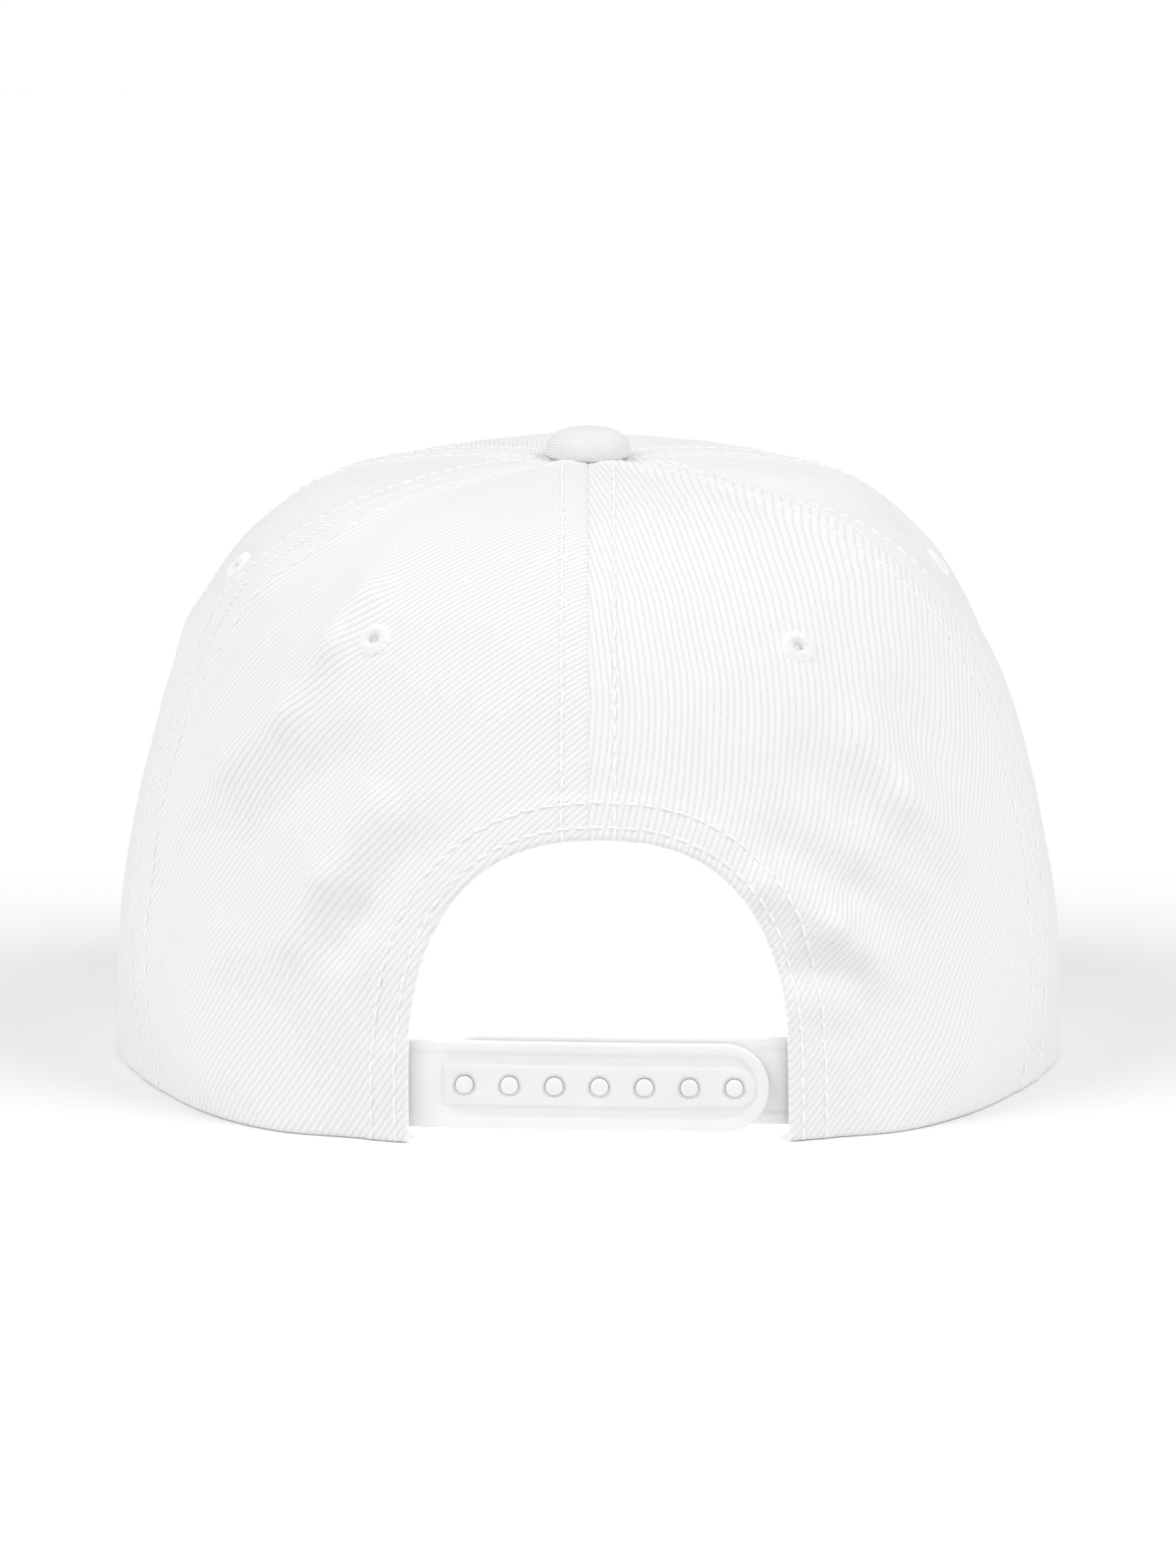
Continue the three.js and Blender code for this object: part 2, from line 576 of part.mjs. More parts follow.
// The wearer's right strap, on the inside, with a peg in each of the holes.
function innerStrapSolid() {
  const middle = STRAP_LEVEL + INNER_STRAP_RAISE;
  const end = HOLES[HOLE_COUNT - 1].x + INNER_STRAP_PAST_PEG;
  const line = { offset: 0, side: -1 };
  const shape = { from: RIGHT_EDGE - TAB_LENGTH, to: end, middle, line };
  let strap = strapSlab({ ...shape, height: STRAP_HEIGHT, shallow: CLEARANCE / 2, deep: STRAP_THICKNESS });
  for (const hole of HOLES) {
    const y = strapY(hole.x, line);
    strap = strap.add(pin(hole, PEG_DIAMETER / 2, y - STRAP_THICKNESS / 2, y + STRAP_THICKNESS + PEG_PROUD));
  }
  return strap;
}

// The crown's panels with the back opening and the eyelet holes cut through them.
function crownMeshes(material) {
  const panels = {
    panel_back_left: panelSolid(BACK_SEAM, REAR_LEFT, BACK_COLUMNS),
    panel_side_left: panelSolid(REAR_LEFT, FORE_LEFT, SIDE_COLUMNS),
    panel_front_left: panelSolid(FORE_LEFT, FRONT_SEAM, FRONT_COLUMNS),
    panel_front_right: panelSolid(FRONT_SEAM_RIGHT, FORE_RIGHT, FRONT_COLUMNS),
    panel_side_right: panelSolid(FORE_RIGHT, REAR_RIGHT, SIDE_COLUMNS),
    panel_back_right: panelSolid(REAR_RIGHT, BACK_SEAM, BACK_COLUMNS),
  };
  const arch = archCutter(0);
  panels.panel_back_left = panels.panel_back_left.subtract(arch);
  panels.panel_back_right = panels.panel_back_right.subtract(arch);
  for (const { node, angle, level } of EYELETS) {
    const panel = node.replace('eyelet', 'panel');
    const hole = placeOnCrown(eyeletCutter(), THREE.MathUtils.degToRad(angle), level);
    panels[panel] = panels[panel].subtract(solidFrom(hole));
  }
  return Object.entries(panels).map(([name, solid]) => part(name, solid, material));
}

function eyeletMeshes(material) {
  return EYELETS.map(({ node, angle, level }) => {
    const ring = placeOnCrown(eyeletGeometry(), THREE.MathUtils.degToRad(angle), level);
    return part(node, solidFrom(ring), material);
  });
}

const cloth = finish(COLOURS.cloth, 0.92);
const thread = finish(COLOURS.thread, 0.75);
const plastic = finish(COLOURS.plastic, 0.35);

const crown = new THREE.Group();
crown.add(...crownMeshes(cloth), ...eyeletMeshes(thread), part('top_button', buttonSolid(), cloth));

const straps = new THREE.Group();
straps.add(part('strap_holes', outerStrapSolid(), plastic), part('strap_pegs', innerStrapSolid(), plastic));

const cap = new THREE.Group();
cap.add(crown, straps, part('brim', brimSolid(), cloth));
cap.add(part('sweatband', bandSolid(), finish(COLOURS.lining, 0.9)));

// The origin goes to the middle of the footprint, on the floor.
const box = new THREE.Box3().setFromObject(cap);
const centre = box.getCenter(new THREE.Vector3());
cap.position.set(-centre.x, -centre.y, -box.min.z);

export default cap;
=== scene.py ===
"""Looks of the snapback cap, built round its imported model: cloth panels with their folds, seams and
stitching, embroidered eyelets, covered button, brim, sweatband and plastic snap straps, in a studio.

Shapes are worked out in millimetres in the crown's own frame: its axis is at x = y = 0, the rim at
z = 0, the middle of the back towards +y and the wearer's left towards +x. A mesh is written in
metres in the row frame.
"""

import logging
from dataclasses import dataclass, field
from enum import Enum
from typing import NamedTuple

import bpy
import numpy as np
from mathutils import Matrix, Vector


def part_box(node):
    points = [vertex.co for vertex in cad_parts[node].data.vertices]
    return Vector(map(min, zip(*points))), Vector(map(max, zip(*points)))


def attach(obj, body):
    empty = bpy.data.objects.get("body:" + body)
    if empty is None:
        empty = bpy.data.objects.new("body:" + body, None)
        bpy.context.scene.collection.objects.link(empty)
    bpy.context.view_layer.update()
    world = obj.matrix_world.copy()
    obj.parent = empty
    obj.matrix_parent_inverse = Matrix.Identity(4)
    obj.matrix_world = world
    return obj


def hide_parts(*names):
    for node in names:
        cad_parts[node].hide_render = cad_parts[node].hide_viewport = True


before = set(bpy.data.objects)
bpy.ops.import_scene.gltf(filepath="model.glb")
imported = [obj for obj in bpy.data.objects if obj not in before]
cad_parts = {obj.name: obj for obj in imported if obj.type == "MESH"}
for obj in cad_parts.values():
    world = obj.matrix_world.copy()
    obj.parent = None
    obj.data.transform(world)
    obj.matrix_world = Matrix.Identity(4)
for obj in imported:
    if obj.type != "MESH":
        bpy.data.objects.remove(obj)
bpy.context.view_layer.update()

Array = np.ndarray
logging.basicConfig(level=logging.INFO, format="%(name)s: %(message)s")
log = logging.getLogger("cap")


class Section(NamedTuple):
    """A level of the crown: its rise and its half sizes as shares, and its plan's exponent."""

    level: float
    rise: float
    side: float
    back: float
    front: float
    square: float


class SeamRow(NamedTuple):
    """Plan angles in degrees of a side panel's rear and fore seams at a level."""

    level: float
    rear: float
    fore: float


class Fold(NamedTuple):
    """A ridge, or a dent where the height is negative, from one plan angle and level to another."""

    from_angle: float
    from_level: float
    to_angle: float
    to_level: float
    height: float
    width: float


class EyeletPlace(NamedTuple):
    """Where an eyelet sits on its panel, by plan angle in degrees and level."""

    name: str
    angle: float
    level: float


SECTIONS = (
    Section(0.00, 0.000, 1.000, 1.000, 1.000, 2.15),
    Section(0.08, 0.090, 1.000, 1.000, 1.000, 2.15),
    Section(0.18, 0.215, 0.990, 0.985, 1.000, 2.15),
    Section(0.28, 0.340, 0.968, 0.955, 0.995, 2.15),
    Section(0.38, 0.465, 0.934, 0.915, 0.985, 2.15),
    Section(0.48, 0.590, 0.890, 0.860, 0.970, 2.15),
    Section(0.58, 0.715, 0.832, 0.790, 0.945, 2.15),
    Section(0.67, 0.812, 0.760, 0.705, 0.900, 2.15),
    Section(0.75, 0.884, 0.670, 0.605, 0.825, 2.10),
    Section(0.83, 0.940, 0.540, 0.485, 0.700, 2.10),
    Section(0.91, 0.976, 0.325, 0.300, 0.480, 2.00),
    Section(1.00, 1.000, 0.000, 0.000, 0.000, 2.00),
)

SEAM_ROWS = (
    SeamRow(0.00, 66.0, 117.0),
    SeamRow(0.15, 68.5, 118.0),
    SeamRow(0.35, 71.0, 120.0),
    SeamRow(0.50, 70.5, 121.0),
    SeamRow(0.70, 64.0, 121.0),
    SeamRow(0.85, 57.5, 120.0),
    SeamRow(1.00, 55.0, 120.0),
)

FOLDS = (
    Fold(40, 0.69, 55, 0.45, 0.72, 0.80),
    Fold(38, 0.68, 40, 0.61, 0.55, 0.46),
    Fold(40, 0.61, 44.5, 0.52, 0.55, 0.46),
    Fold(44.5, 0.52, 53, 0.445, 0.52, 0.46),
    Fold(35, 0.48, 47, 0.385, -0.70, 0.66),
    Fold(49.5, 0.685, 62, 0.495, 0.32, 0.42),
    Fold(29, 0.42, 34, 0.33, 0.75, 0.55),
    Fold(34, 0.33, 38, 0.25, 0.72, 0.55),
    Fold(38, 0.25, 50, 0.22, 0.43, 0.70),
    Fold(23.5, 0.375, 28, 0.30, -0.52, 0.52),
    Fold(29.5, 0.28, 31, 0.25, -0.52, 0.48),
    Fold(26, 0.19, 25, 0.155, -0.29, 0.45),
    Fold(47, 0.34, 49, 0.30, -0.61, 0.90),
    Fold(55, 0.36, 62, 0.28, -0.58, 0.90),
    Fold(62, 0.68, 85, 0.59, 0.35, 0.70),
    Fold(-40, 0.50, -44, 0.42, 0.72, 0.62),
    Fold(-44, 0.42, -51.5, 0.35, 0.72, 0.62),
    Fold(-31, 0.46, -36, 0.42, -0.49, 0.70),
    Fold(-48, 0.535, -52, 0.46, -0.49, 0.60),
    Fold(-25.5, 0.38, -35, 0.32, -0.46, 0.50),
    Fold(-35, 0.32, -42.5, 0.265, -0.46, 0.50),
    Fold(-22.5, 0.33, -31, 0.27, 0.72, 0.48),
    Fold(-31, 0.27, -36, 0.22, 0.70, 0.48),
    Fold(-25.5, 0.225, -32.5, 0.215, -0.58, 0.40),
    Fold(-28, 0.145, -30, 0.14, -0.23, 0.36),
    Fold(-66, 0.88, -100, 0.72, -1.00, 1.15),
    Fold(-78, 0.66, -96, 0.60, -0.70, 1.40),
    Fold(38, 0.00, 46, 0.07, 1.00, 1.30),
    Fold(-38, 0.00, -46, 0.07, 1.25, 1.40),
    Fold(67, 0.00, 71, 0.06, -0.75, 1.80),
    Fold(-68, 0.00, -70, 0.06, -0.45, 1.60),
)

EYELETS = (
    EyeletPlace("back_left", 34, 0.626),
    EyeletPlace("back_right", -33, 0.617),
    EyeletPlace("side_left", 75, 0.690),
    EyeletPlace("side_right", -85, 0.690),
    EyeletPlace("front_left", 148, 0.690),
    EyeletPlace("front_right", -148, 0.690),
)


class Side(Enum):
    """A side of a grid of points."""

    FIRST_ROW = "first row"
    LAST_ROW = "last row"
    FIRST_COLUMN = "first column"
    LAST_COLUMN = "last column"


class Seam(Enum):
    """A seam between two crown panels, from the middle of the back round to the front."""

    BACK = "back"
    REAR = "rear"
    FORE = "fore"
    FRONT = "front"


class Slot(Enum):
    """The record's material slots."""

    TWILL = "twill"
    THREAD = "thread"
    LINING = "lining"
    PLASTIC = "strap_plastic"


# Shape maths


def curve_through(rows: tuple, column: str, level: Array) -> Array:
    """A table's column at levels, on a cubic that never overshoots its rows.

    Between two rows it is the cubic with tangents that are the harmonic mean of the neighbouring
    slopes, or zero where those point opposite ways.

    Args:
        rows: The table, with a level in each row.
        column: Name of the column.
        level: Levels to work it out at.

    Returns:
        The values, in the shape of the levels.
    """
    at = np.array([row.level for row in rows])
    value = np.array([getattr(row, column) for row in rows])
    slope = np.diff(value) / np.diff(at)
    before, after = slope[:-1], slope[1:]
    total = np.where(before + after == 0, 1, before + after)
    inner = np.where(before * after > 0, 2 * before * after / total, 0)
    tangent = np.concatenate((slope[:1], inner, slope[-1:]))
    start = np.clip(np.searchsorted(at, level, side="right") - 1, 0, len(at) - 2)
    run = at[start + 1] - at[start]
    share = (level - at[start]) / run
    rest = 1 - share
    return (
        (1 + 2 * share) * rest**2 * value[start]
        + share * rest**2 * run * tangent[start]
        + share**2 * (3 - 2 * share) * value[start + 1]
        - share**2 * rest * run * tangent[start + 1]
    )


def level_at(rise: Array) -> Array:
    """Levels of the crown where its wall has given rises, straight between the sections."""
    return np.interp(rise, [row.rise for row in SECTIONS], [row.level for row in SECTIONS])


def smooth_step(low: float, high: float, value: Array) -> Array:
    """0 below low, 1 above high, and the cubic 3t^2 - 2t^3 between them."""
    share = np.clip((value - low) / (high - low), 0, 1)
    return share * share * (3 - 2 * share)


def bump_at(centre: float, width: float, value: Array) -> Array:
    """A rounded bump of height 1: exp(-((value - centre) / width)^2)."""
    return np.exp(-(((value - centre) / width) ** 2))


def round_over(distance: Array, radius: float) -> Array:
    """How far a quarter-round edge lies under its flat face, at a distance from the edge."""
    left = np.clip(radius - distance, 0, radius)
    return np.sqrt(radius**2 - left**2) - radius


def length_of(vectors: Array) -> Array:
    """Lengths of vectors along the last axis."""
    return np.sqrt((vectors**2).sum(axis=-1))


def unit(vectors: Array) -> Array:
    """Vectors along the last axis, each divided by its length."""
    return vectors / np.maximum(length_of(vectors)[..., None], 1e-12)


def running_length(points: Array) -> Array:
    """Length along each line of points, from its first point, along the second last axis."""
    steps = length_of(np.diff(points, axis=-2))
    return np.concatenate((np.zeros_like(steps[..., :1]), np.cumsum(steps, axis=-1)), axis=-1)


def turned(grid: Array, side: Side) -> Array:
    """The grid seen so that the given side is its first column.

    Args:
        grid: An array whose first two axes are rows and columns.
        side: The side that becomes the first column.

    Returns:
        A view of the grid.
    """
    if side is Side.LAST_COLUMN:
        return grid[:, ::-1]
    if side is Side.FIRST_ROW:
        return grid.swapaxes(0, 1)
    if side is Side.LAST_ROW:
        return grid[::-1].swapaxes(0, 1)
    return grid


def turned_back(grid: Array, side: Side) -> Array:
    """The grid in its own order again after turned() with the same side."""
    if side is Side.LAST_ROW:
        return grid.swapaxes(0, 1)[::-1]
    return turned(grid, side)


def distance_from(points: Array, side: Side, cells: int = 6) -> Array:
    """Distance over a surface from one side of its grid.

    It is the running length of the grid's lines from that side, times the sine of the angle at
    which each line leaves it.

    Args:
        points: Grid of points.
        side: The side to measure from.
        cells: Over how many cells the angle is taken.

    Returns:
        Distances in millimetres, in the grid's own order.
    """
    view = turned(points, side)
    edge = unit(np.gradient(view[:, 0], axis=0))
    leaving = unit(view[:, cells] - view[:, 0])
    sine = length_of(np.cross(edge, leaving))
    return turned_back(running_length(view) * sine[:, None], side)


def graded_shares(length: float, step: float, first: tuple = (), last: tuple = ()) -> Array:
    """Shares from 0 to 1 along a length, with cells of given sizes at its two ends.

    Args:
        length: The whole length.
        step: Size of the cells between the ends.
        first: Sizes of the cells from the start.
        last: Sizes of the cells from the end, the outermost one first.

    Returns:
        The shares, rising.
    """
    middle = length - sum(first) - sum(last)
    count = max(round(middle / step), 2)
    cells = np.concatenate((first, np.full(count, middle / count), last[::-1]))
    return np.concatenate(([0.0], np.cumsum(cells))) / cells.sum()


def along(line: Array, shares: Array) -> Array:
    """Points of a dense polyline at shares of its length."""
    run = running_length(line)
    return np.stack([np.interp(shares * run[-1], run, axis) for axis in line.T], axis=-1)


@dataclass(frozen=True)
class CrownForm:
    """The crown's wall as a function of plan angle and level.

    Its sections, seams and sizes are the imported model's. The creases of its back are finer ones
    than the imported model's broad folds, and the dimple under the button is only here.
    """

    width: float = 182.0
    back: float = 88.0
    front: float = 95.0
    height: float = 115.4
    cloth: float = 1.8
    fold_height: float = 2.6
    fold_width: float = 9.0
    eye_radius: float = 2.5
    brim_lift: float = 7.0
    dimple: float = 1.1
    dimple_reach: float = 0.036
    slant_share: float = 1.3
    wave_seed: int = 11
    wave_count: int = 26
    wave_lengths: tuple = (11, 38)
    wave_steepness: float = 0.0011
    slant_points: int = 600
    newton_steps: int = 12

    def lift(self, x: Array) -> Array:
        """How far the lower edge stands up at a distance from the middle of the brim."""
        share = np.minimum(np.abs(x) / (self.width / 2), 1)
        return self.brim_lift * (1 - share**2) ** 1.5

    def radius(self, angle: Array, level: Array) -> Array:
        """Distance from the axis to the smooth outer face: a superellipse in plan.

        Args:
            angle: Plan angles in radians from the middle of the back.
            level: Levels, 0 at the rim and 1 at the button's hole.

        Returns:
            The radii.
        """
        square = curve_through(SECTIONS, "square", level)
        eye = self.eye_radius
        across = eye + (self.width / 2 - eye) * curve_through(SECTIONS, "side", level)
        rear = np.cos(angle) > 0
        depth = np.where(rear, self.back, self.front)
        share = np.where(
            rear, curve_through(SECTIONS, "back", level), curve_through(SECTIONS, "front", level)
        )
        deep = eye + (depth - eye) * share
        total = (np.abs(np.sin(angle)) / across) ** square + (np.abs(np.cos(angle)) / deep) ** square
        return total ** (-1 / square)

    def smooth_point(self, angle: Array, level: Array) -> Array:
        """Points of the wall without its folds.

        Args:
            angle: Plan angles in radians from the middle of the back.
            level: Levels, 0 at the rim and 1 at the button's hole.

        Returns:
            The points.
        """
        radius = self.radius(angle, level)
        rise = curve_through(SECTIONS, "rise", level)
        rim_x = self.radius(angle, np.zeros_like(level)) * np.sin(angle)
        rim = np.where(np.cos(angle) < 0, self.lift(rim_x), 0)
        height = self.height * rise + rim * (1 - rise) ** 2
        return np.stack((radius * np.sin(angle), radius * np.cos(angle), height), axis=-1)

    def normal(self, angle: Array, level: Array) -> Array:
        """Outward normals of the smooth wall, from small steps up and around it.

        Args:
            angle: Plan angles in radians from the middle of the back.
            level: Levels, 0 at the rim and 1 at the button's hole.

        Returns:
            Unit vectors.
        """
        step = 1e-3
        around = self.smooth_point(angle + step, level) - self.smooth_point(angle - step, level)
        above, below = np.minimum(level + step, 1), np.maximum(level - step, 0)
        up = self.smooth_point(angle, above) - self.smooth_point(angle, below)
        return unit(np.cross(up, around))

    def flat_place(self, angle: Array, level: Array) -> tuple[Array, Array]:
        """Rough distances round the crown and up its slant, to measure folds in."""
        wrapped = np.arctan2(np.sin(angle), np.cos(angle))
        return wrapped * self.width / 2, level * self.height * self.slant_share

    def folds(self, angle: Array, level: Array) -> Array:
        """Height of the dimple under the button and all the folds.

        Each fold is exp(-(distance from its line / its width)^2).

        Args:
            angle: Plan angles in radians from the middle of the back.
            level: Levels, 0 at the rim and 1 at the button's hole.

        Returns:
            Heights, below 0 in dents.
        """
        around, up = self.flat_place(angle, level)
        total = -self.dimple * bump_at(1.0, self.dimple_reach, level) + 0 * around
        for fold in FOLDS:
            start = self.flat_place(np.radians(fold.from_angle), np.float64(fold.from_level))
            end = self.flat_place(np.radians(fold.to_angle), np.float64(fold.to_level))
            run = (end[0] - start[0], end[1] - start[1])
            off = (around - start[0], up - start[1])
            share = (off[0] * run[0] + off[1] * run[1]) / (run[0] ** 2 + run[1] ** 2)
            share = np.clip(share, 0, 1)
            away = np.hypot(off[0] - share * run[0], off[1] - share * run[1])
            total += self.fold_height * fold.height * bump_at(0, self.fold_width * fold.width, away)
        return total

    def unevenness(self, angle: Array, level: Array) -> Array:
        """Slight unevenness of soft cloth: a sum of plane waves in directions of a seeded draw.

        Args:
            angle: Plan angles in radians from the middle of the back.
            level: Levels, 0 at the rim and 1 at the button's hole.

        Returns:
            Heights.
        """
        around, up = self.flat_place(angle, level)
        draw = np.random.default_rng(self.wave_seed)
        total = np.zeros_like(around)
        for _ in range(self.wave_count):
            heading, start = draw.uniform(0, 2 * np.pi, 2)
            length = draw.uniform(*self.wave_lengths)
            across = around * np.cos(heading) + up * np.sin(heading)
            total += self.wave_steepness * length * np.sin(2 * np.pi * across / length + start)
        return total

    def point(self, angle: Array, level: Array, depth: float = 0.0) -> Array:
        """Points of the wall with its folds, at a depth under the outer face."""
        offset = self.folds(angle, level) - depth
        return self.smooth_point(angle, level) + self.normal(angle, level) * offset[..., None]

    def seam_angle(self, seam: Seam, level: Array, sign: int, inset: float) -> Array:
        """Plan angle of a seam, moved by a distance round the crown.

        Args:
            seam: Which seam.
            level: Levels.
            sign: 1 for the wearer's left, -1 for the right.
            inset: Distance in millimetres, positive away from the middle of the back.

        Returns:
            Signed angles in radians.
        """
        if seam in (Seam.REAR, Seam.FORE):
            angle = np.radians(curve_through(SEAM_ROWS, seam.value, level))
        else:
            angle = np.full_like(level, 0.0 if seam is Seam.BACK else np.pi)
        return sign * (angle + inset / self.radius(angle, level))

    def slant(self, angle: float) -> tuple[Array, Array]:
        """Levels from 0 to 1 and the length up the wall to each, at one plan angle."""
        level = np.linspace(0, 1, self.slant_points)
        return level, running_length(self.smooth_point(np.full_like(level, angle), level))

    def place_of(self, x: Array, z: Array, depth: float) -> tuple[Array, Array]:
        """Plan angle and level where the back wall has given x and z, by Newton's method.

        Args:
            x: Distances from the middle.
            z: Heights.
            depth: Depth under the outer face.

        Returns:
            The angles and the levels.
        """
        step = 1e-4
        angle = np.arctan2(x, self.back)
        level = level_at(z / self.height)
        for _ in range(self.newton_steps):
            here = self.point(angle, level, depth)
            turn = (self.point(angle + step, level, depth) - here) / step
            climb = (self.point(angle, level + step, depth) - here) / step
            off_x, off_z = x - here[..., 0], z - here[..., 2]
            whole = turn[..., 0] * climb[..., 2] - turn[..., 2] * climb[..., 0]
            angle = angle + (off_x * climb[..., 2] - off_z * climb[..., 0]) / whole
            level = level + (off_z * turn[..., 0] - off_x * turn[..., 2]) / whole
            level = np.clip(level, 0, 1)
        return angle, level


@dataclass(frozen=True)
class ArchForm:
    """The back opening's outline: straight sides under half a superellipse."""

    half_width: float = 34.2
    height: float = 54.8
    straight: float = 11.0
    squareness: float = 2.45
    shift: float = -1.9
    points: int = 1200

    def half(self, sign: int) -> Array:
        """Dense x and z of the outline from the rim up to the middle seam, on one side.

        Args:
            sign: 1 for the wearer's left, -1 for the right.

        Returns:
            The points, from the rim on.
        """
        turn = np.linspace(0, np.pi, self.points)
        power = 2 / self.squareness
        x = self.shift + self.half_width * np.sign(np.cos(turn)) * np.abs(np.cos(turn)) ** power
        z = self.straight + (self.height - self.straight) * np.sin(turn) ** power
        if sign < 0:
            x, z = x[::-1], z[::-1]
        kept = x * sign > 0
        foot = (self.shift + sign * self.half_width, 0.0)
        rest = np.stack((x[kept], z[kept]), axis=-1)
        top = np.interp(0.0, x[::-sign], z[::-sign])
        return np.concatenate(([foot], rest, [(0.0, top)]))

    def edge_x(self, z: Array, sign: int, margin: float = 0.0) -> Array:
        """x of the outline at heights below its top."""
        rise = np.clip((z - self.straight) / (self.height - self.straight), 0, 1)
        across = (1 - rise**self.squareness) ** (1 / self.squareness)
        return self.shift + sign * (self.half_width + margin) * across


# Meshes


def crown_origin() -> Array:
    """The crown's own origin in the row frame, in metres, from the button that sits on its axis."""
    low, high = (np.array(corner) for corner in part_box("top_button"))
    top = (CROWN.height + ButtonForm.clearance + ButtonForm.height) / 1000
    return np.array([(low[0] + high[0]) / 2, (low[1] + high[1]) / 2, high[2] - top])


def grid_faces(rows: int, columns: int, start: int = 0, wrap: tuple = (False, False)) -> Array:
    """Four-cornered faces of a grid of points.

    Args:
        rows: Number of rows of points.
        columns: Number of columns of points.
        start: Number of the first point.
        wrap: Whether the rows and the columns close on themselves.

    Returns:
        Corner numbers, four a face.
    """
    row = np.arange(rows if wrap[0] else rows - 1)
    column = np.arange(columns if wrap[1] else columns - 1)
    i, j = np.meshgrid(row, column, indexing="ij")
    up, right = (i + 1) % rows, (j + 1) % columns
    corners = (i * columns + j, i * columns + right, up * columns + right, up * columns + j)
    return start + np.stack(corners, axis=-1).reshape(-1, 4)


def capped_faces(rings: int, sides: int) -> tuple[Array, Array]:
    """Faces of a row of rings whose ends are closed by fans to two more points.

    Args:
        rings: Number of rings.
        sides: Number of points of each.

    Returns:
        The faces between the rings, four corners each, and both fans' faces, three corners each.
    """
    ring = np.arange(sides)
    after = np.roll(ring, -1)
    top, pole = (rings - 1) * sides, rings * sides
    first = np.stack((after, ring, np.full(sides, pole)), axis=-1)
    last = np.stack((ring + top, after + top, np.full(sides, pole + 1)), axis=-1)
    return grid_faces(rings, sides, wrap=(False, True)), np.concatenate((first, last))


def add_object(name: str, data: bpy.types.ID) -> bpy.types.Object:
    """An object that shows a mesh, a lamp or a camera, linked to the scene."""
    obj = bpy.data.objects.new(name, data)
    bpy.context.scene.collection.objects.link(obj)
    return obj


def signed_volume(points: Array, faces: list[Array]) -> float:
    """Volume inside the faces, below 0 where they point inwards.

    Args:
        points: The points.
        faces: Groups of faces with equal numbers of corners.

    Returns:
        The volume.
    """
    total = 0.0
    for group in faces:
        for corner in range(1, group.shape[1] - 1):
            cross = np.cross(points[group[:, corner]], points[group[:, corner + 1]])
            total += float((points[group[:, 0]] * cross).sum()) / 6
    return total


def write_mesh(
    name: str, points: Array, faces: list[Array], weave: Array | None = None
) -> bpy.types.Object:
    """Makes a smooth-shaded object whose faces point outwards.

    Args:
        name: The piece's name.
        points: Points in the crown's frame, in millimetres.
        faces: Groups of faces with equal numbers of corners.
        weave: Each point's place on the cloth in millimetres: across, along, and pulled aside.

    Returns:
        The object, linked to the scene.
    """
    flat = points.reshape(-1, 3)
    if signed_volume(flat, faces) < 0:
        faces = [group[:, ::-1] for group in faces]
    corners = np.concatenate([group.ravel() for group in faces])
    sizes = np.concatenate([np.full(len(group), group.shape[1]) for group in faces])
    mesh = bpy.data.meshes.new(name)
    mesh.vertices.add(len(flat))
    mesh.loops.add(len(corners))
    mesh.polygons.add(len(sizes))
    mesh.vertices.foreach_set("co", (flat / 1000 + ORIGIN).astype(np.float32).ravel())
    mesh.loops.foreach_set("vertex_index", corners.astype(np.int32))
    starts = np.concatenate(([0], np.cumsum(sizes)[:-1]))
    mesh.polygons.foreach_set("loop_start", starts.astype(np.int32))
    mesh.polygons.foreach_set("use_smooth", np.ones(len(sizes), bool))
    mesh.update(calc_edges=True)
    if weave is not None:
        place = mesh.attributes.new("weave", "FLOAT_VECTOR", "POINT")
        place.data.foreach_set("vector", weave.reshape(-1, 3).astype(np.float32).ravel())
    return add_object(name, mesh)


def write_shell(
    name: str, outer: Array, inner: Array, weave: Array | None = None
) -> bpy.types.Object:
    """A closed shell between two grids of points, joined along their four sides.

    Args:
        name: The piece's name.
        outer: Grid of the outer face's points.
        inner: Grid of the inner face's points.
        weave: Each grid point's place on the cloth, or None.

    Returns:
        The object.
    """
    rows, columns = outer.shape[:2]
    count = rows * columns
    index = np.arange(count).reshape(rows, columns)
    ring = np.concatenate((index[0, :-1], index[:-1, -1], index[-1, :0:-1], index[:0:-1, 0]))
    after = np.roll(ring, -1)
    wall = np.stack((after, ring, ring + count, after + count), axis=-1)
    under = grid_faces(rows, columns, start=count)[:, ::-1]
    points = np.concatenate((outer.reshape(-1, 3), inner.reshape(-1, 3)))
    both = None if weave is None else np.concatenate((weave.reshape(-1, 3), weave.reshape(-1, 3)))
    return write_mesh(name, points, [grid_faces(rows, columns), under, wall], both)


def write_turned(name: str, rings: Array, weave: Array | None = None) -> bpy.types.Object:
    """A closed body from rings of points, each end closed by a fan to the ring's centre.

    Args:
        name: The piece's name.
        rings: Points, one ring a row.
        weave: Each ring point's place on the cloth, or None.

    Returns:
        The object.
    """
    poles = np.stack((rings[0].mean(axis=0), rings[-1].mean(axis=0)))
    points = np.concatenate((rings.reshape(-1, 3), poles))
    if weave is not None:
        ends = np.stack((weave[0].mean(axis=0), weave[-1].mean(axis=0)))
        weave = np.concatenate((weave.reshape(-1, 3), ends))
    return write_mesh(name, points, list(capped_faces(*rings.shape[:2])), weave)


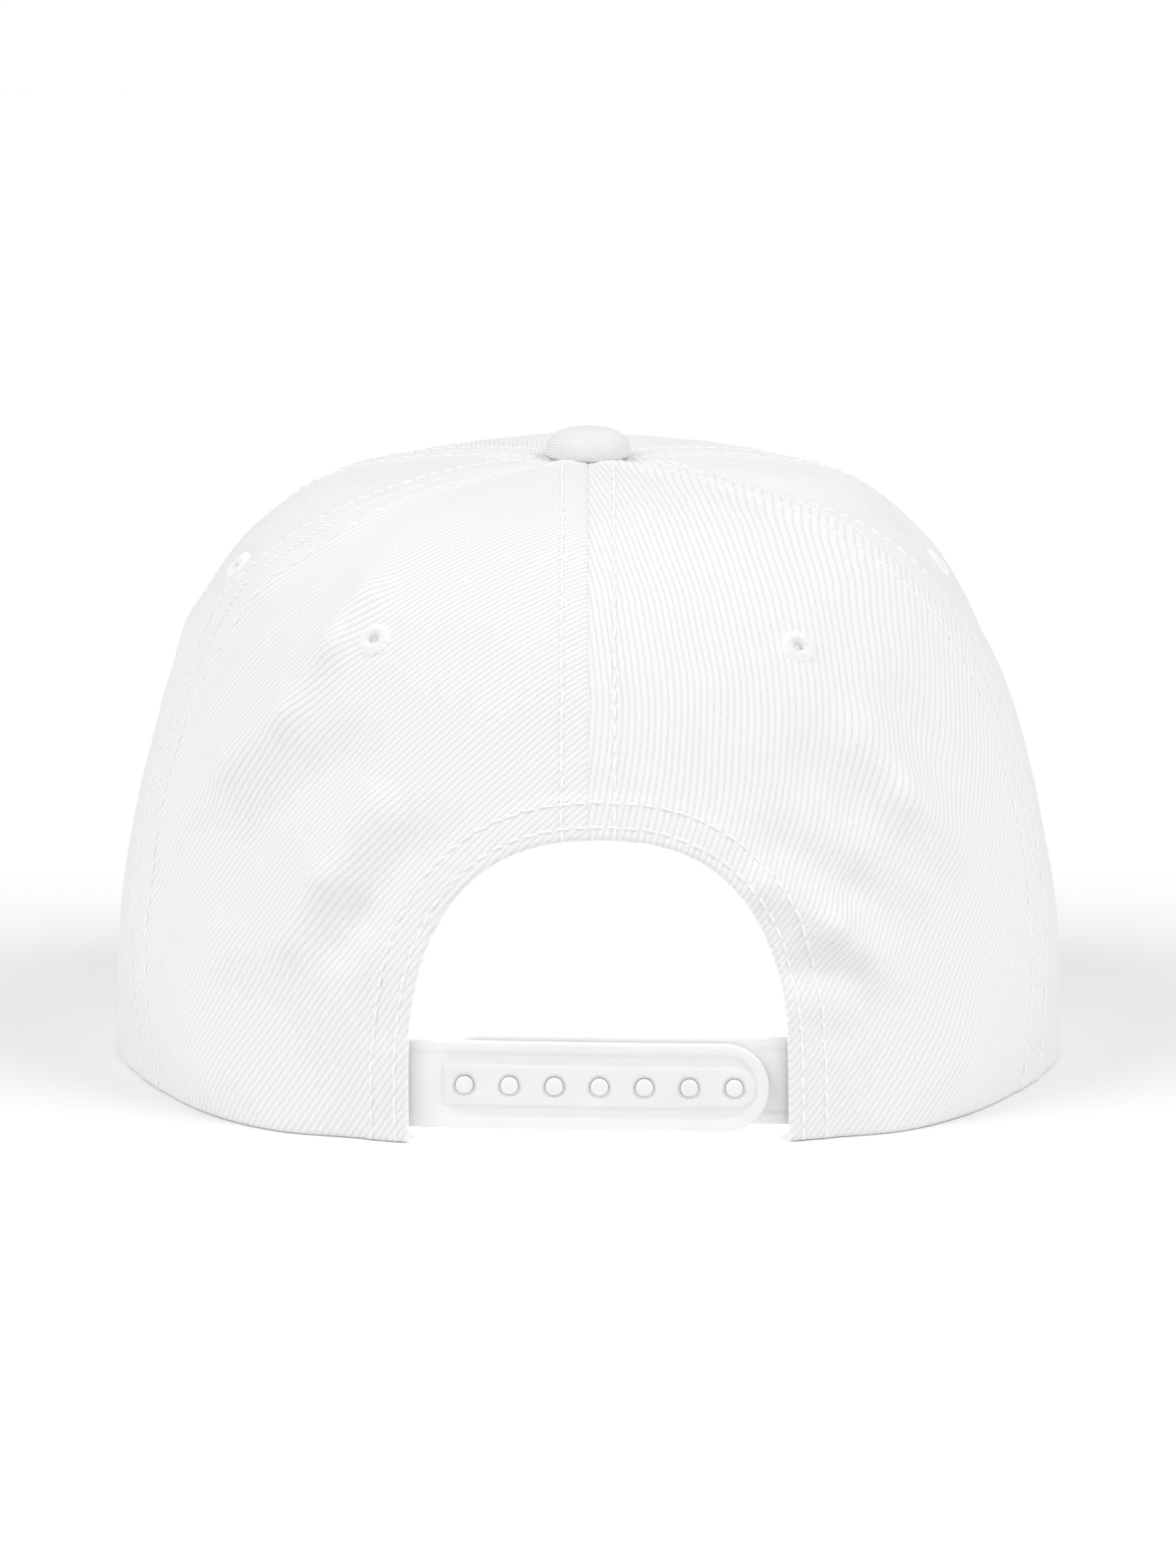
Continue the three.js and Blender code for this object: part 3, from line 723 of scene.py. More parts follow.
def combine(obj: bpy.types.Object, tool: bpy.types.Object, operation: str) -> None:
    """Cuts a closed object with another one or joins them, and removes the other one.

    Args:
        obj: The object to change.
        tool: The object that cuts or is joined.
        operation: DIFFERENCE to cut, UNION to join.
    """
    change = obj.modifiers.new("combine", "BOOLEAN")
    change.operation = operation
    change.solver = "MANIFOLD"
    change.object = tool
    bpy.context.view_layer.update()
    graph = bpy.context.evaluated_depsgraph_get()
    made = bpy.data.meshes.new_from_object(obj.evaluated_get(graph))
    obj.modifiers.clear()
    obj.data = made
    bpy.data.objects.remove(tool)


def dress(obj: bpy.types.Object, material: bpy.types.Material, slot: Slot, nodes: tuple = ()) -> None:
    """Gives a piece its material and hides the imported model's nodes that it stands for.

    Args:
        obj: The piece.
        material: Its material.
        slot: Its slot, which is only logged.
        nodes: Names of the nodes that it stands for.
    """
    obj.data.materials.clear()
    obj.data.materials.append(material)
    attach(obj, "root")
    if nodes:
        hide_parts(*nodes)
    log.info("%s: %d faces, slot %s", obj.name, len(obj.data.polygons), slot.value)


@dataclass(frozen=True)
class StitchForm:
    """Lockstitches: short capsules of thread that dip into the cloth at their ends."""

    pitch: float = 3.1
    length: float = 2.75
    radius: float = 0.28
    proud: float = 0.07
    dip: float = 0.25
    slant: float = 0.10
    sections: int = 7
    sides: int = 6

    def rings(self, line: Array, normals: Array, seed: int) -> Array:
        """Rings of points for each stitch along a line on a surface.

        A stitch's middle stands proud, falls with the fourth power of the distance from its
        middle, and thins with the sixth; it is turned a little across the line.

        Args:
            line: Points of the line.
            normals: The surface's normals there.
            seed: Seed of the small differences between stitches.

        Returns:
            Points by stitch, section and side.
        """
        run = running_length(line)
        count = int(run[-1] / self.pitch)
        draw = np.random.default_rng(seed)
        middle = (np.arange(count) + 0.5) * run[-1] / max(count, 1)
        share = np.linspace(-1, 1, self.sections)
        place = middle[:, None] + share * self.length / 2
        at = np.stack([np.interp(place, run, axis) for axis in line.T], axis=-1)
        up = unit(np.stack([np.interp(place, run, axis) for axis in normals.T], axis=-1))
        ahead = unit(np.gradient(at, axis=1))
        across = unit(np.cross(ahead, up))
        lean = self.slant * draw.uniform(0.3, 1.6, (count, 1))
        drift = draw.normal(0, 0.05, (count, 1))
        high = (self.proud + draw.normal(0, 0.025, (count, 1))) - self.dip * share**4
        centre = at + up * high[..., None] + across * (lean * share + drift)[..., None]
        thick = self.radius * (1 - 0.6 * share**6)
        turn = np.linspace(0, 2 * np.pi, self.sides, endpoint=False)
        ring = across[:, :, None] * np.cos(turn)[:, None] + up[:, :, None] * np.sin(turn)[:, None]
        return centre[:, :, None] + ring * thick[:, None, None]

    def piece(self, name: str, rings: Array) -> bpy.types.Object:
        """One object from the rings of many stitches, each closed by a fan at both ends.

        Args:
            name: The piece's name.
            rings: Points by stitch, section and side.

        Returns:
            The object.
        """
        count, sections, sides = rings.shape[:3]
        each = sections * sides
        poles = np.stack((rings[:, 0].mean(axis=1), rings[:, -1].mean(axis=1)), axis=1)
        points = np.concatenate((rings.reshape(count, each, 3), poles), axis=1)
        step = np.arange(count)[:, None, None] * (each + 2)
        groups = capped_faces(sections, sides)
        faces = [(group[None] + step).reshape(-1, group.shape[1]) for group in groups]
        return write_mesh(name, points.reshape(-1, 3), faces)


# Materials


class Signal:
    """A number that varies over a surface, written as an expression that adds its Math nodes."""

    def __init__(self, bench: "Bench", socket: bpy.types.NodeSocket) -> None:
        """Wraps a node's output socket on a bench."""
        self.bench = bench
        self.socket = socket

    def __add__(self, other: "Signal | float") -> "Signal":
        """Sum."""
        return self.bench.maths("ADD", self, other)

    def __radd__(self, other: float) -> "Signal":
        """Sum, reflected."""
        return self.bench.maths("ADD", other, self)

    def __sub__(self, other: "Signal | float") -> "Signal":
        """Difference."""
        return self.bench.maths("SUBTRACT", self, other)

    def __rsub__(self, other: float) -> "Signal":
        """Difference, reflected."""
        return self.bench.maths("SUBTRACT", other, self)

    def __mul__(self, other: "Signal | float") -> "Signal":
        """Product."""
        return self.bench.maths("MULTIPLY", self, other)

    def __truediv__(self, other: "Signal | float") -> "Signal":
        """Quotient."""
        return self.bench.maths("DIVIDE", self, other)

    def ridge(self) -> "Signal":
        """A row of rounded ridges, one a unit: the absolute sine of pi times the value."""
        return self.bench.maths("ABSOLUTE", self.bench.maths("SINE", self * float(np.pi)))

    def step(self, low: float, high: float) -> "Signal":
        """0 below low, 1 above high and smooth between them."""
        settings = {"interpolation_type": "SMOOTHSTEP"}
        node = self.bench.node("ShaderNodeMapRange", settings, {0: self, 1: low, 2: high})
        return Signal(self.bench, node.outputs[0])


class Bench:
    """Makes the nodes of one material."""

    def __init__(self, name: str) -> None:
        """Starts an empty material."""
        self.material = bpy.data.materials.new(name)
        self.material.use_nodes = True
        self.tree = self.material.node_tree
        self.tree.nodes.clear()

    def node(
        self, kind: str, settings: dict | None = None, inputs: dict | None = None
    ) -> bpy.types.Node:
        """Adds a node.

        Args:
            kind: The node's type name.
            settings: Its settings, set first.
            inputs: Values or links of its sockets, by number or name.

        Returns:
            The node.
        """
        node = self.tree.nodes.new(kind)
        for name, value in (settings or {}).items():
            setattr(node, name, value)
        for name, value in (inputs or {}).items():
            value = value.socket if isinstance(value, Signal) else value
            if isinstance(value, bpy.types.NodeSocket):
                self.tree.links.new(value, node.inputs[name])
            else:
                node.inputs[name].default_value = value
        return node

    def maths(self, operation: str, *terms: "Signal | float") -> Signal:
        """A Math node's result."""
        node = self.node("ShaderNodeMath", {"operation": operation}, dict(enumerate(terms)))
        return Signal(self, node.outputs[0])

    def weave(self) -> tuple[tuple[Signal, ...], bpy.types.NodeSocket]:
        """The piece's place on the cloth: across, along, pulled aside, and the three as one."""
        place = self.node("ShaderNodeAttribute", {"attribute_name": "weave"}).outputs["Vector"]
        apart = self.node("ShaderNodeSeparateXYZ", {}, {0: place})
        return tuple(Signal(self, socket) for socket in apart.outputs), place

    def place(self) -> bpy.types.NodeSocket:
        """Object coordinates in metres."""
        return self.node("ShaderNodeTexCoord").outputs["Object"]

    def noise(self, place: bpy.types.NodeSocket, scale: float, detail: float = 2.0) -> Signal:
        """Soft noise from 0 to 1."""
        inputs = {"Vector": place, "Scale": scale, "Detail": detail, "Roughness": 0.55}
        return Signal(self, self.node("ShaderNodeTexNoise", {}, inputs).outputs[0])

    def mixed(self, factor: Signal, low: tuple, high: tuple) -> bpy.types.NodeSocket:
        """A colour between two, by a factor from 0 to 1."""
        inputs = {0: factor, 6: (*low, 1.0), 7: (*high, 1.0)}
        node = self.node("ShaderNodeMix", {"data_type": "RGBA", "clamp_factor": True}, inputs)
        return node.outputs[2]

    def bump(self, height: Signal, distance: float) -> bpy.types.NodeSocket:
        """A normal bent by a height that stands for a distance in metres."""
        inputs = {"Height": height, "Distance": distance, "Strength": 1.0}
        return self.node("ShaderNodeBump", {}, inputs).outputs[0]

    def surface(self, inputs: dict) -> bpy.types.Material:
        """Ends the material in a Principled shader with these sockets, and returns it."""
        shader = self.node("ShaderNodeBsdfPrincipled", {}, inputs)
        self.node("ShaderNodeOutputMaterial", {}, {0: shader.outputs[0]})
        return self.material


@dataclass(frozen=True)
class TwillFinish:
    """Cotton twill, three threads up and one down: slanted wales with a row of small gaps between."""

    name: str
    light: tuple = (0.85, 0.85, 0.85)
    # dark: painted shade of the gaps between the wales, and the low end of the cloth's random tone
    dark: tuple = (0.64, 0.64, 0.65)
    warp_pitch: float = 0.35
    weft_pitch: float = 0.465
    repeat: int = 4
    relief: float = 0.00008
    roughness: float = 0.88

    def material(self) -> bpy.types.Material:
        """Builds the twill from the piece's own place on its cloth.

        A wale moves one warp thread aside in each weft row, so its phase is the place across in
        repeats plus the row over the repeat. A gap shows where both a wale's and a row's phase
        are whole; the gaps dip in the bump and also get painted shade in the base colour.
        """
        bench = Bench(self.name)
        (across, up, pulled), place = bench.weave()
        drift = bench.noise(place, 0.05, 1.0) - 0.5
        row = (up + drift * 0.8) / self.weft_pitch
        wale = (across + pulled + drift) / (self.warp_pitch * self.repeat) + row / self.repeat
        slub = bench.noise(place, 1.1, 2.0)
        fibre = bench.noise(place, 6.0, 2.0)
        crest = wale.ridge()
        between = 1 - row.ridge()
        gap = (1 - crest).step(0.30, 0.95) * (0.10 + between.step(0.2, 0.8) * 0.90)
        height = crest - gap * 0.4 + (slub - 0.5) * 0.25 + (fibre - 0.5) * 0.2
        # Painted shade: the base colour darkens in the gaps, where shade falls; slub and fibre only
        # vary the tone at random.
        shade = 1 - gap * 0.9 - (slub - 0.5) * 0.25 - (fibre - 0.5) * 0.35
        return bench.surface(
            {
                "Base Color": bench.mixed(shade, self.dark, self.light),
                "Roughness": self.roughness + (fibre - 0.5) * 0.16,
                "Normal": bench.bump(height, self.relief),
                "Sheen Weight": 0.25,
                "Sheen Roughness": 0.5,
                "Specular IOR Level": 0.2,
            }
        )


@dataclass(frozen=True)
class ThreadFinish:
    """Spun thread, a little shinier and lighter than the cloth."""

    name: str
    light: tuple = (0.97, 0.97, 0.965)
    dark: tuple = (0.86, 0.86, 0.86)
    relief: float = 0.00006
    roughness: float = 0.62

    def material(self) -> bpy.types.Material:
        """Builds fine fibres and slight differences along the thread."""
        bench = Bench(self.name)
        place = bench.place()
        fibre = bench.noise(place, 5200.0, 2.0)
        patch = bench.noise(place, 700.0, 1.0)
        shade = fibre * 0.6 + patch * 0.5
        return bench.surface(
            {
                "Base Color": bench.mixed(shade, self.dark, self.light),
                "Roughness": self.roughness + (patch - 0.5) * 0.2,
                "Normal": bench.bump(fibre, self.relief),
                "Sheen Weight": 0.1,
                "Specular IOR Level": 0.35,
            }
        )


@dataclass(frozen=True)
class LiningFinish:
    """Plain-woven cotton of the sweatband: threads over and under in both directions."""

    name: str
    light: tuple = (0.90, 0.90, 0.895)
    dark: tuple = (0.80, 0.80, 0.80)
    pitch: float = 0.55
    relief: float = 0.00010
    roughness: float = 0.9

    def material(self) -> bpy.types.Material:
        """Builds the plain weave from the piece's own place on its cloth, with painted shade in its
        dips.
        """
        bench = Bench(self.name)
        (across, up, _), place = bench.weave()
        weft = (across / self.pitch).ridge()
        warp = (up / self.pitch).ridge()
        fibre = bench.noise(place, 5.0, 2.0)
        height = weft * 0.5 + warp * 0.5 + (fibre - 0.5) * 0.3
        return bench.surface(
            {
                # Painted shade: the base colour follows the weave's height, darker where the threads
                # dip.
                "Base Color": bench.mixed(height, self.dark, self.light),
                "Roughness": self.roughness + (fibre - 0.5) * 0.12,
                "Normal": bench.bump(height, self.relief),
                "Specular IOR Level": 0.2,
            }
        )


@dataclass(frozen=True)
class PlasticFinish:
    """Moulded soft plastic: satin, slightly see-through, with faint flow marks and a fine grain."""

    name: str
    light: tuple = (0.90, 0.90, 0.90)
    dark: tuple = (0.82, 0.82, 0.825)
    relief: float = 0.00003
    roughness: float = 0.34

    def material(self) -> bpy.types.Material:
        """Builds the flow marks and the grain from Object coordinates."""
        bench = Bench(self.name)
        place = bench.place()
        flow = bench.noise(place, 90.0, 2.0)
        grain = bench.noise(place, 3000.0, 2.0)
        return bench.surface(
            {
                "Base Color": bench.mixed(flow, self.dark, self.light),
                "Roughness": self.roughness + (flow - 0.5) * 0.18 + (grain - 0.5) * 0.08,
                "Normal": bench.bump(grain * 0.5 + flow * 2.0, self.relief),
                "Subsurface Weight": 0.35,
                "Subsurface Radius": (1.0, 1.0, 1.0),
                "Subsurface Scale": 0.0015,
                "Specular IOR Level": 0.45,
                "IOR": 1.47,
            }
        )


@dataclass(frozen=True)
class FloorFinish:
    """Plain pale studio floor."""

    name: str = "studio_floor"
    light: tuple = (0.93, 0.93, 0.93)
    dark: tuple = (0.91, 0.91, 0.91)

    def material(self) -> bpy.types.Material:
        """Builds a nearly even matt floor."""
        bench = Bench(self.name)
        patch = bench.noise(bench.place(), 3.0, 2.0)
        return bench.surface(
            {
                "Base Color": bench.mixed(patch, self.dark, self.light),
                "Roughness": 0.9,
                "Specular IOR Level": 0.1,
            }
        )


# Crown


@dataclass(frozen=True)
class SewingForm:
    """Sizes of the sewn edges: felled seams, the opening's hem and their rows of stitches."""

    stitch: StitchForm = StitchForm()
    seam_row: float = 4.8
    hem_rows: tuple = (2.3, 6.8)
    seam_gap: float = 0.04
    plateau: float = 0.30
    valley: float = 0.30
    groove: float = 0.05
    rim_cells: tuple = (0.1, 0.2, 0.35, 0.5, 0.7)
    edge_cells: tuple = (0.18, 0.22, 0.3, 0.4, 0.5) + (0.55,) * 9
    hem_cells: tuple = (0.06, 0.1, 0.16, 0.24, 0.34, 0.4) + (0.45,) * 15
    cell: float = 1.0
    pulls: dict = field(default_factory=lambda: {"back_right": -0.42})
    pull_levels: tuple = (0.28, 0.50)

    def row_groove(self, distance: Array, row: float, run: Array) -> Array:
        """The dip of the cloth under a row of stitches, a little deeper at each needle hole."""
        holes = 0.72 + 0.28 * np.cos(2 * np.pi * run / self.stitch.pitch + np.pi)
        return -self.groove * holes * bump_at(row, 0.6, distance)

    def seam(self, distance: Array, run: Array) -> Array:
        """Height over a felled seam: a sharp valley, a doubled strip and the row's groove.

        Args:
            distance: Distances from the edge.
            run: Lengths along it.

        Returns:
            Heights.
        """
        wave = np.sin(2 * np.pi * run / (2.1 * self.stitch.pitch))
        pucker = 0.07 * wave * bump_at(2.4, 1.8, distance)
        strip = self.plateau * (1 - smooth_step(self.seam_row + 0.3, self.seam_row + 2.2, distance))
        valley = -self.valley * bump_at(0, 0.40, distance)
        return valley + strip + pucker + self.row_groove(distance, self.seam_row, run)

    def hem(self, distance: Array, run: Array) -> Array:
        """Height over the opening's turned hem: a thicker strip with two grooves.

        Args:
            distance: Distances from the edge.
            run: Lengths along it.

        Returns:
            Heights.
        """
        last = self.hem_rows[-1]
        strip = 1.3 * self.plateau * (1 - smooth_step(last + 0.4, last + 2.0, distance))
        grooves = sum(self.row_groove(distance, row, run) for row in self.hem_rows)
        return strip + grooves


class Panel:
    """One crown panel: a closed shell of cloth with sewn edges, and its rows of stitches."""

    def __init__(
        self, name: str, form: CrownForm, sewing: SewingForm, seams: tuple, sign: int
    ) -> None:
        """Keeps the panel's place.

        Args:
            name: Its name, such as back_left.
            form: The crown.
            sewing: Sizes of the sewn edges.
            seams: The seams at its two sides, the one nearer the middle of the back first.
            sign: 1 for the wearer's left, -1 for the right.
        """
        self.name, self.form, self.sewing, self.seams, self.sign = name, form, sewing, seams, sign
        self.seam_sides = (Side.FIRST_COLUMN, Side.LAST_COLUMN)
        self.hem_side: Side | None = None
        self.rim_side = Side.FIRST_ROW
        self.pull = sewing.pulls.get(name, 0.0)

    def places(self) -> tuple[Array, Array]:
        """Plan angles and levels of the grid: rows up the slant, columns from seam to seam.

        Returns:
            The angles in radians and the levels, by row and column.
        """
        first, last = self.seams
        rim = np.zeros(1)
        ends = [self.form.seam_angle(seam, rim, 1, 0.0)[0] for seam in (first, last)]
        level, slant = self.form.slant(self.sign * sum(ends) / 2)
        shares = graded_shares(slant[-1], self.sewing.cell, self.sewing.rim_cells)
        rows = np.interp(shares * slant[-1], slant, level)
        wide = (ends[1] - ends[0]) * self.form.width / 2
        cells = self.sewing.edge_cells
        across = graded_shares(wide, self.sewing.cell, cells, cells)
        half = self.sewing.seam_gap / 2
        start = self.form.seam_angle(first, rows, self.sign, half)
        end = self.form.seam_angle(last, rows, self.sign, -half)
        angle = start[:, None] + (end - start)[:, None] * across
        return angle, np.repeat(rows[:, None], len(across), axis=1)

    def relief(self, points: Array) -> Array:
        """Height of the sewn edges over the panel's grid.

        Args:
            points: Grid of the wall's points.

        Returns:
            Heights.
        """
        total = np.zeros(points.shape[:2])
        edges = [(side, self.sewing.seam) for side in self.seam_sides]
        if self.hem_side:
            edges.append((self.hem_side, self.sewing.hem))
        for side, sewn in edges:
            run = running_length(turned(points, side)[:, 0])[:, None]
            distance = turned(distance_from(points, side), side)
            total += turned_back(sewn(distance, run), side)
        return total

    def rounding(self, points: Array) -> Array:
        """How far each face draws back at the rim and the hem to round the folded edge.

        Args:
            points: Grid of the wall's points.

        Returns:
            Distances, 0 or below.
        """
        radius = self.form.cloth / 2
        total = round_over(distance_from(points, self.rim_side), radius)
        if self.hem_side:
            total = np.minimum(total, round_over(distance_from(points, self.hem_side), radius))
        return total

    def weave(self, angle: Array, level: Array) -> Array:
        """Each point's place on the cloth laid flat, its threads along the panel's middle line.

        Each level is unrolled from the cone that touches the crown there: with k the radius lost
        for each millimetre up the slant, a turn t from the middle line opens out to k t, so the
        point lies r sin(k t) / k aside and r (1 - cos(k t)) / k above the middle line's point.

        Args:
            angle: Plan angles in radians from the middle of the back.
            level: Levels, 0 at the rim and 1 at the button's hole.

        Returns:
            Across, along and pulled aside, in millimetres.
        """
        first, last = self.seams
        start = self.form.seam_angle(first, level, self.sign, 0.0)
        end = self.form.seam_angle(last, level, self.sign, 0.0)
        middle = (start + end) / 2
        radius = self.form.radius(middle, level)
        line = float(middle.flat[0])
        levels, slant = self.form.slant(line)
        lost = -np.gradient(self.form.radius(np.full_like(levels, line), levels), slant)
        opening = np.clip(np.interp(level, levels, lost), 0.02, 1.0)
        turn = opening * (angle - middle)
        across = radius * np.sin(turn) / opening
        up = np.interp(level, levels, slant) + radius * (1 - np.cos(turn)) / opening
        start, whole = self.sewing.pull_levels
        growth = np.gradient(slant) * smooth_step(start, whole, levels)
        pulled = self.pull * np.interp(level, levels, np.cumsum(growth))
        return np.stack((across, up, pulled), axis=-1)

    def build(self, eyelet: "Eyelet", cloth: bpy.types.Material) -> list[Array]:
        """Makes the panel's mesh, cuts its eyelet hole and works out its stitches.

        Args:
            eyelet: The panel's eyelet.
            cloth: Its material.

        Returns:
            Rings of stitches, one array a row.
        """
        angle, level = self.places()
        normal = self.form.normal(angle, level)
        soft = self.form.unevenness(angle, level)
        base = self.form.smooth_point(angle, level)
        base = base + normal * (self.form.folds(angle, level) + soft)[..., None]
        rounding = self.rounding(base)
        outer = base + normal * (self.relief(base) + rounding)[..., None]
        inner = base - normal * (self.form.cloth + rounding)[..., None]
        obj = write_shell(f"cloth_{self.name}", outer, inner, self.weave(angle, level))
        combine(obj, eyelet.cutter(), "DIFFERENCE")
        dress(obj, cloth, Slot.TWILL, (f"panel_{self.name}",))
        return self.rows_of_stitches(base, outer, normal)

    def rows_of_stitches(self, base: Array, outer: Array, normal: Array) -> list[Array]:
        """Rings of the stitches along the panel's seams and hem.

        Args:
            base: Grid of the wall's points before the sewn edges.
            outer: Grid of its finished face's points.
            normal: The wall's normals.

        Returns:
            Rings of stitches, one array a row.
        """
        rows = [(side, self.sewing.seam_row) for side in self.seam_sides]
        if self.hem_side:
            rows += [(self.hem_side, row) for row in self.sewing.hem_rows]
        made = []
        for number, (side, row) in enumerate(rows):
            line, up = self.line_at(base, outer, normal, side, row)
            made.append(self.sewing.stitch.rings(line, up, hash_of(self.name) + number))
        return made

    def line_at(
        self, base: Array, outer: Array, normal: Array, side: Side, row: float
    ) -> tuple[Array, Array]:
        """The line on the cloth's face at a distance from one side, and its normals.

        Args:
            base: Grid of the wall's points before the sewn edges.
            outer: Grid of its finished face's points.
            normal: The wall's normals.
            side: The side.
            row: The distance from it.

        Returns:
            The line's points and normals.
        """
        distance = turned(distance_from(base, side), side)
        face, up = turned(outer, side), turned(normal, side)
        after = np.clip((distance < row).sum(axis=1), 1, distance.shape[1] - 1)[:, None]
        near = np.take_along_axis(distance, after - 1, axis=1)
        far = np.take_along_axis(distance, after, axis=1)
        share = ((row - near) / (far - near))[..., None]
        pick = after[..., None]
        found = []
        for grid in (face, up):
            before = np.take_along_axis(grid, pick - 1, 1) * (1 - share)
            found.append((before + np.take_along_axis(grid, pick, 1) * share)[:, 0])
        line, ups = found
        clear = np.hypot(line[:, 0], line[:, 1]) > ButtonForm.diameter / 2 + 0.4
        return line[clear], ups[clear]


def hash_of(text: str) -> int:
    """A seed from a name, the same each run."""
    return sum(ord(letter) * (place + 1) for place, letter in enumerate(text))


class BackPanel(Panel):
    """A back panel, whose grid runs from the opening's arch to the rear seam."""

    map_angle: float = np.radians(40)
    side_points: int = 500
    eye_points: int = 60
    height_on_map: float = 130.0
    width_on_map: float = 92.0

    def __init__(
        self, name: str, form: CrownForm, sewing: SewingForm, arch: ArchForm, sign: int
    ) -> None:
        """Keeps the panel's place and the arch that cuts it."""
        super().__init__(name, form, sewing, (Seam.BACK, Seam.REAR), sign)
        self.arch = arch
        self.seam_sides = (Side.LAST_ROW, Side.LAST_COLUMN)
        self.hem_side = Side.FIRST_COLUMN

    def plan(self, angle: Array, level: Array) -> Array:
        """Places in a flat map round the button, whose radius is the length down the wall."""
        levels, slant = self.form.slant(self.map_angle * self.sign)
        radius = self.form.eye_radius + slant[-1] - np.interp(level, levels, slant)
        return np.stack((radius * np.sin(angle), radius * np.cos(angle)), axis=-1)

    def places(self) -> tuple[Array, Array]:
        """Plan angles and levels of a four-sided patch, blended from its sides on the flat map.

        Rows go from the rim's end to the middle seam's, columns from the arch to the rear seam.
        The blend is the two ruled patches between opposite sides less the one between corners.

        Returns:
            The angles in radians and the levels, by row and column.
        """
        form, sewing, sign = self.form, self.sewing, self.sign
        half = sewing.seam_gap / 2
        count = self.side_points
        levels = np.linspace(0, 1, count)
        outline = self.arch.half(sign)
        arch_angle, arch_level = form.place_of(outline[:, 0], outline[:, 1], form.cloth)
        arch_angle[-1] = sign * half / form.back
        arch = self.plan(arch_angle, arch_level)
        rear = self.plan(form.seam_angle(Seam.REAR, levels, sign, -half), levels)
        above = np.linspace(arch_level[-1], 1, count)
        middle = self.plan(form.seam_angle(Seam.BACK, above, sign, half), above)
        rear_foot = form.seam_angle(Seam.REAR, levels[:1], sign, -half)[0]
        rear_top = form.seam_angle(Seam.REAR, levels[-1:], sign, -half)[0]
        rim = self.plan(np.linspace(arch_angle[0], rear_foot, count), np.zeros(count))
        eye_start = form.seam_angle(Seam.BACK, levels[-1:], sign, half)[0]
        around_eye = np.linspace(eye_start, rear_top, self.eye_points)
        eye = self.plan(around_eye, np.ones(self.eye_points))
        middle = np.concatenate((middle, eye[1:]))
        cells = sewing.edge_cells
        down = graded_shares(self.height_on_map, sewing.cell, sewing.rim_cells, cells)
        over = graded_shares(self.width_on_map, sewing.cell, sewing.hem_cells, cells)
        s, t = down[:, None, None], over[None, :, None]
        left, right = along(arch, down)[:, None], along(rear, down)[:, None]
        bottom, top = along(rim, over)[None], along(middle, over)[None]
        corners = (
            (1 - s) * (1 - t) * bottom[:, :1]
            + (1 - s) * t * bottom[:, -1:]
            + s * (1 - t) * top[:, :1]
            + s * t * top[:, -1:]
        )
        flat = (1 - t) * left + t * right + (1 - s) * bottom + s * top - corners
        level, slant = form.slant(self.map_angle * sign)
        reach = form.eye_radius + slant[-1] - np.hypot(flat[..., 0], flat[..., 1])
        return np.arctan2(flat[..., 0], flat[..., 1]), np.interp(reach, slant, level)


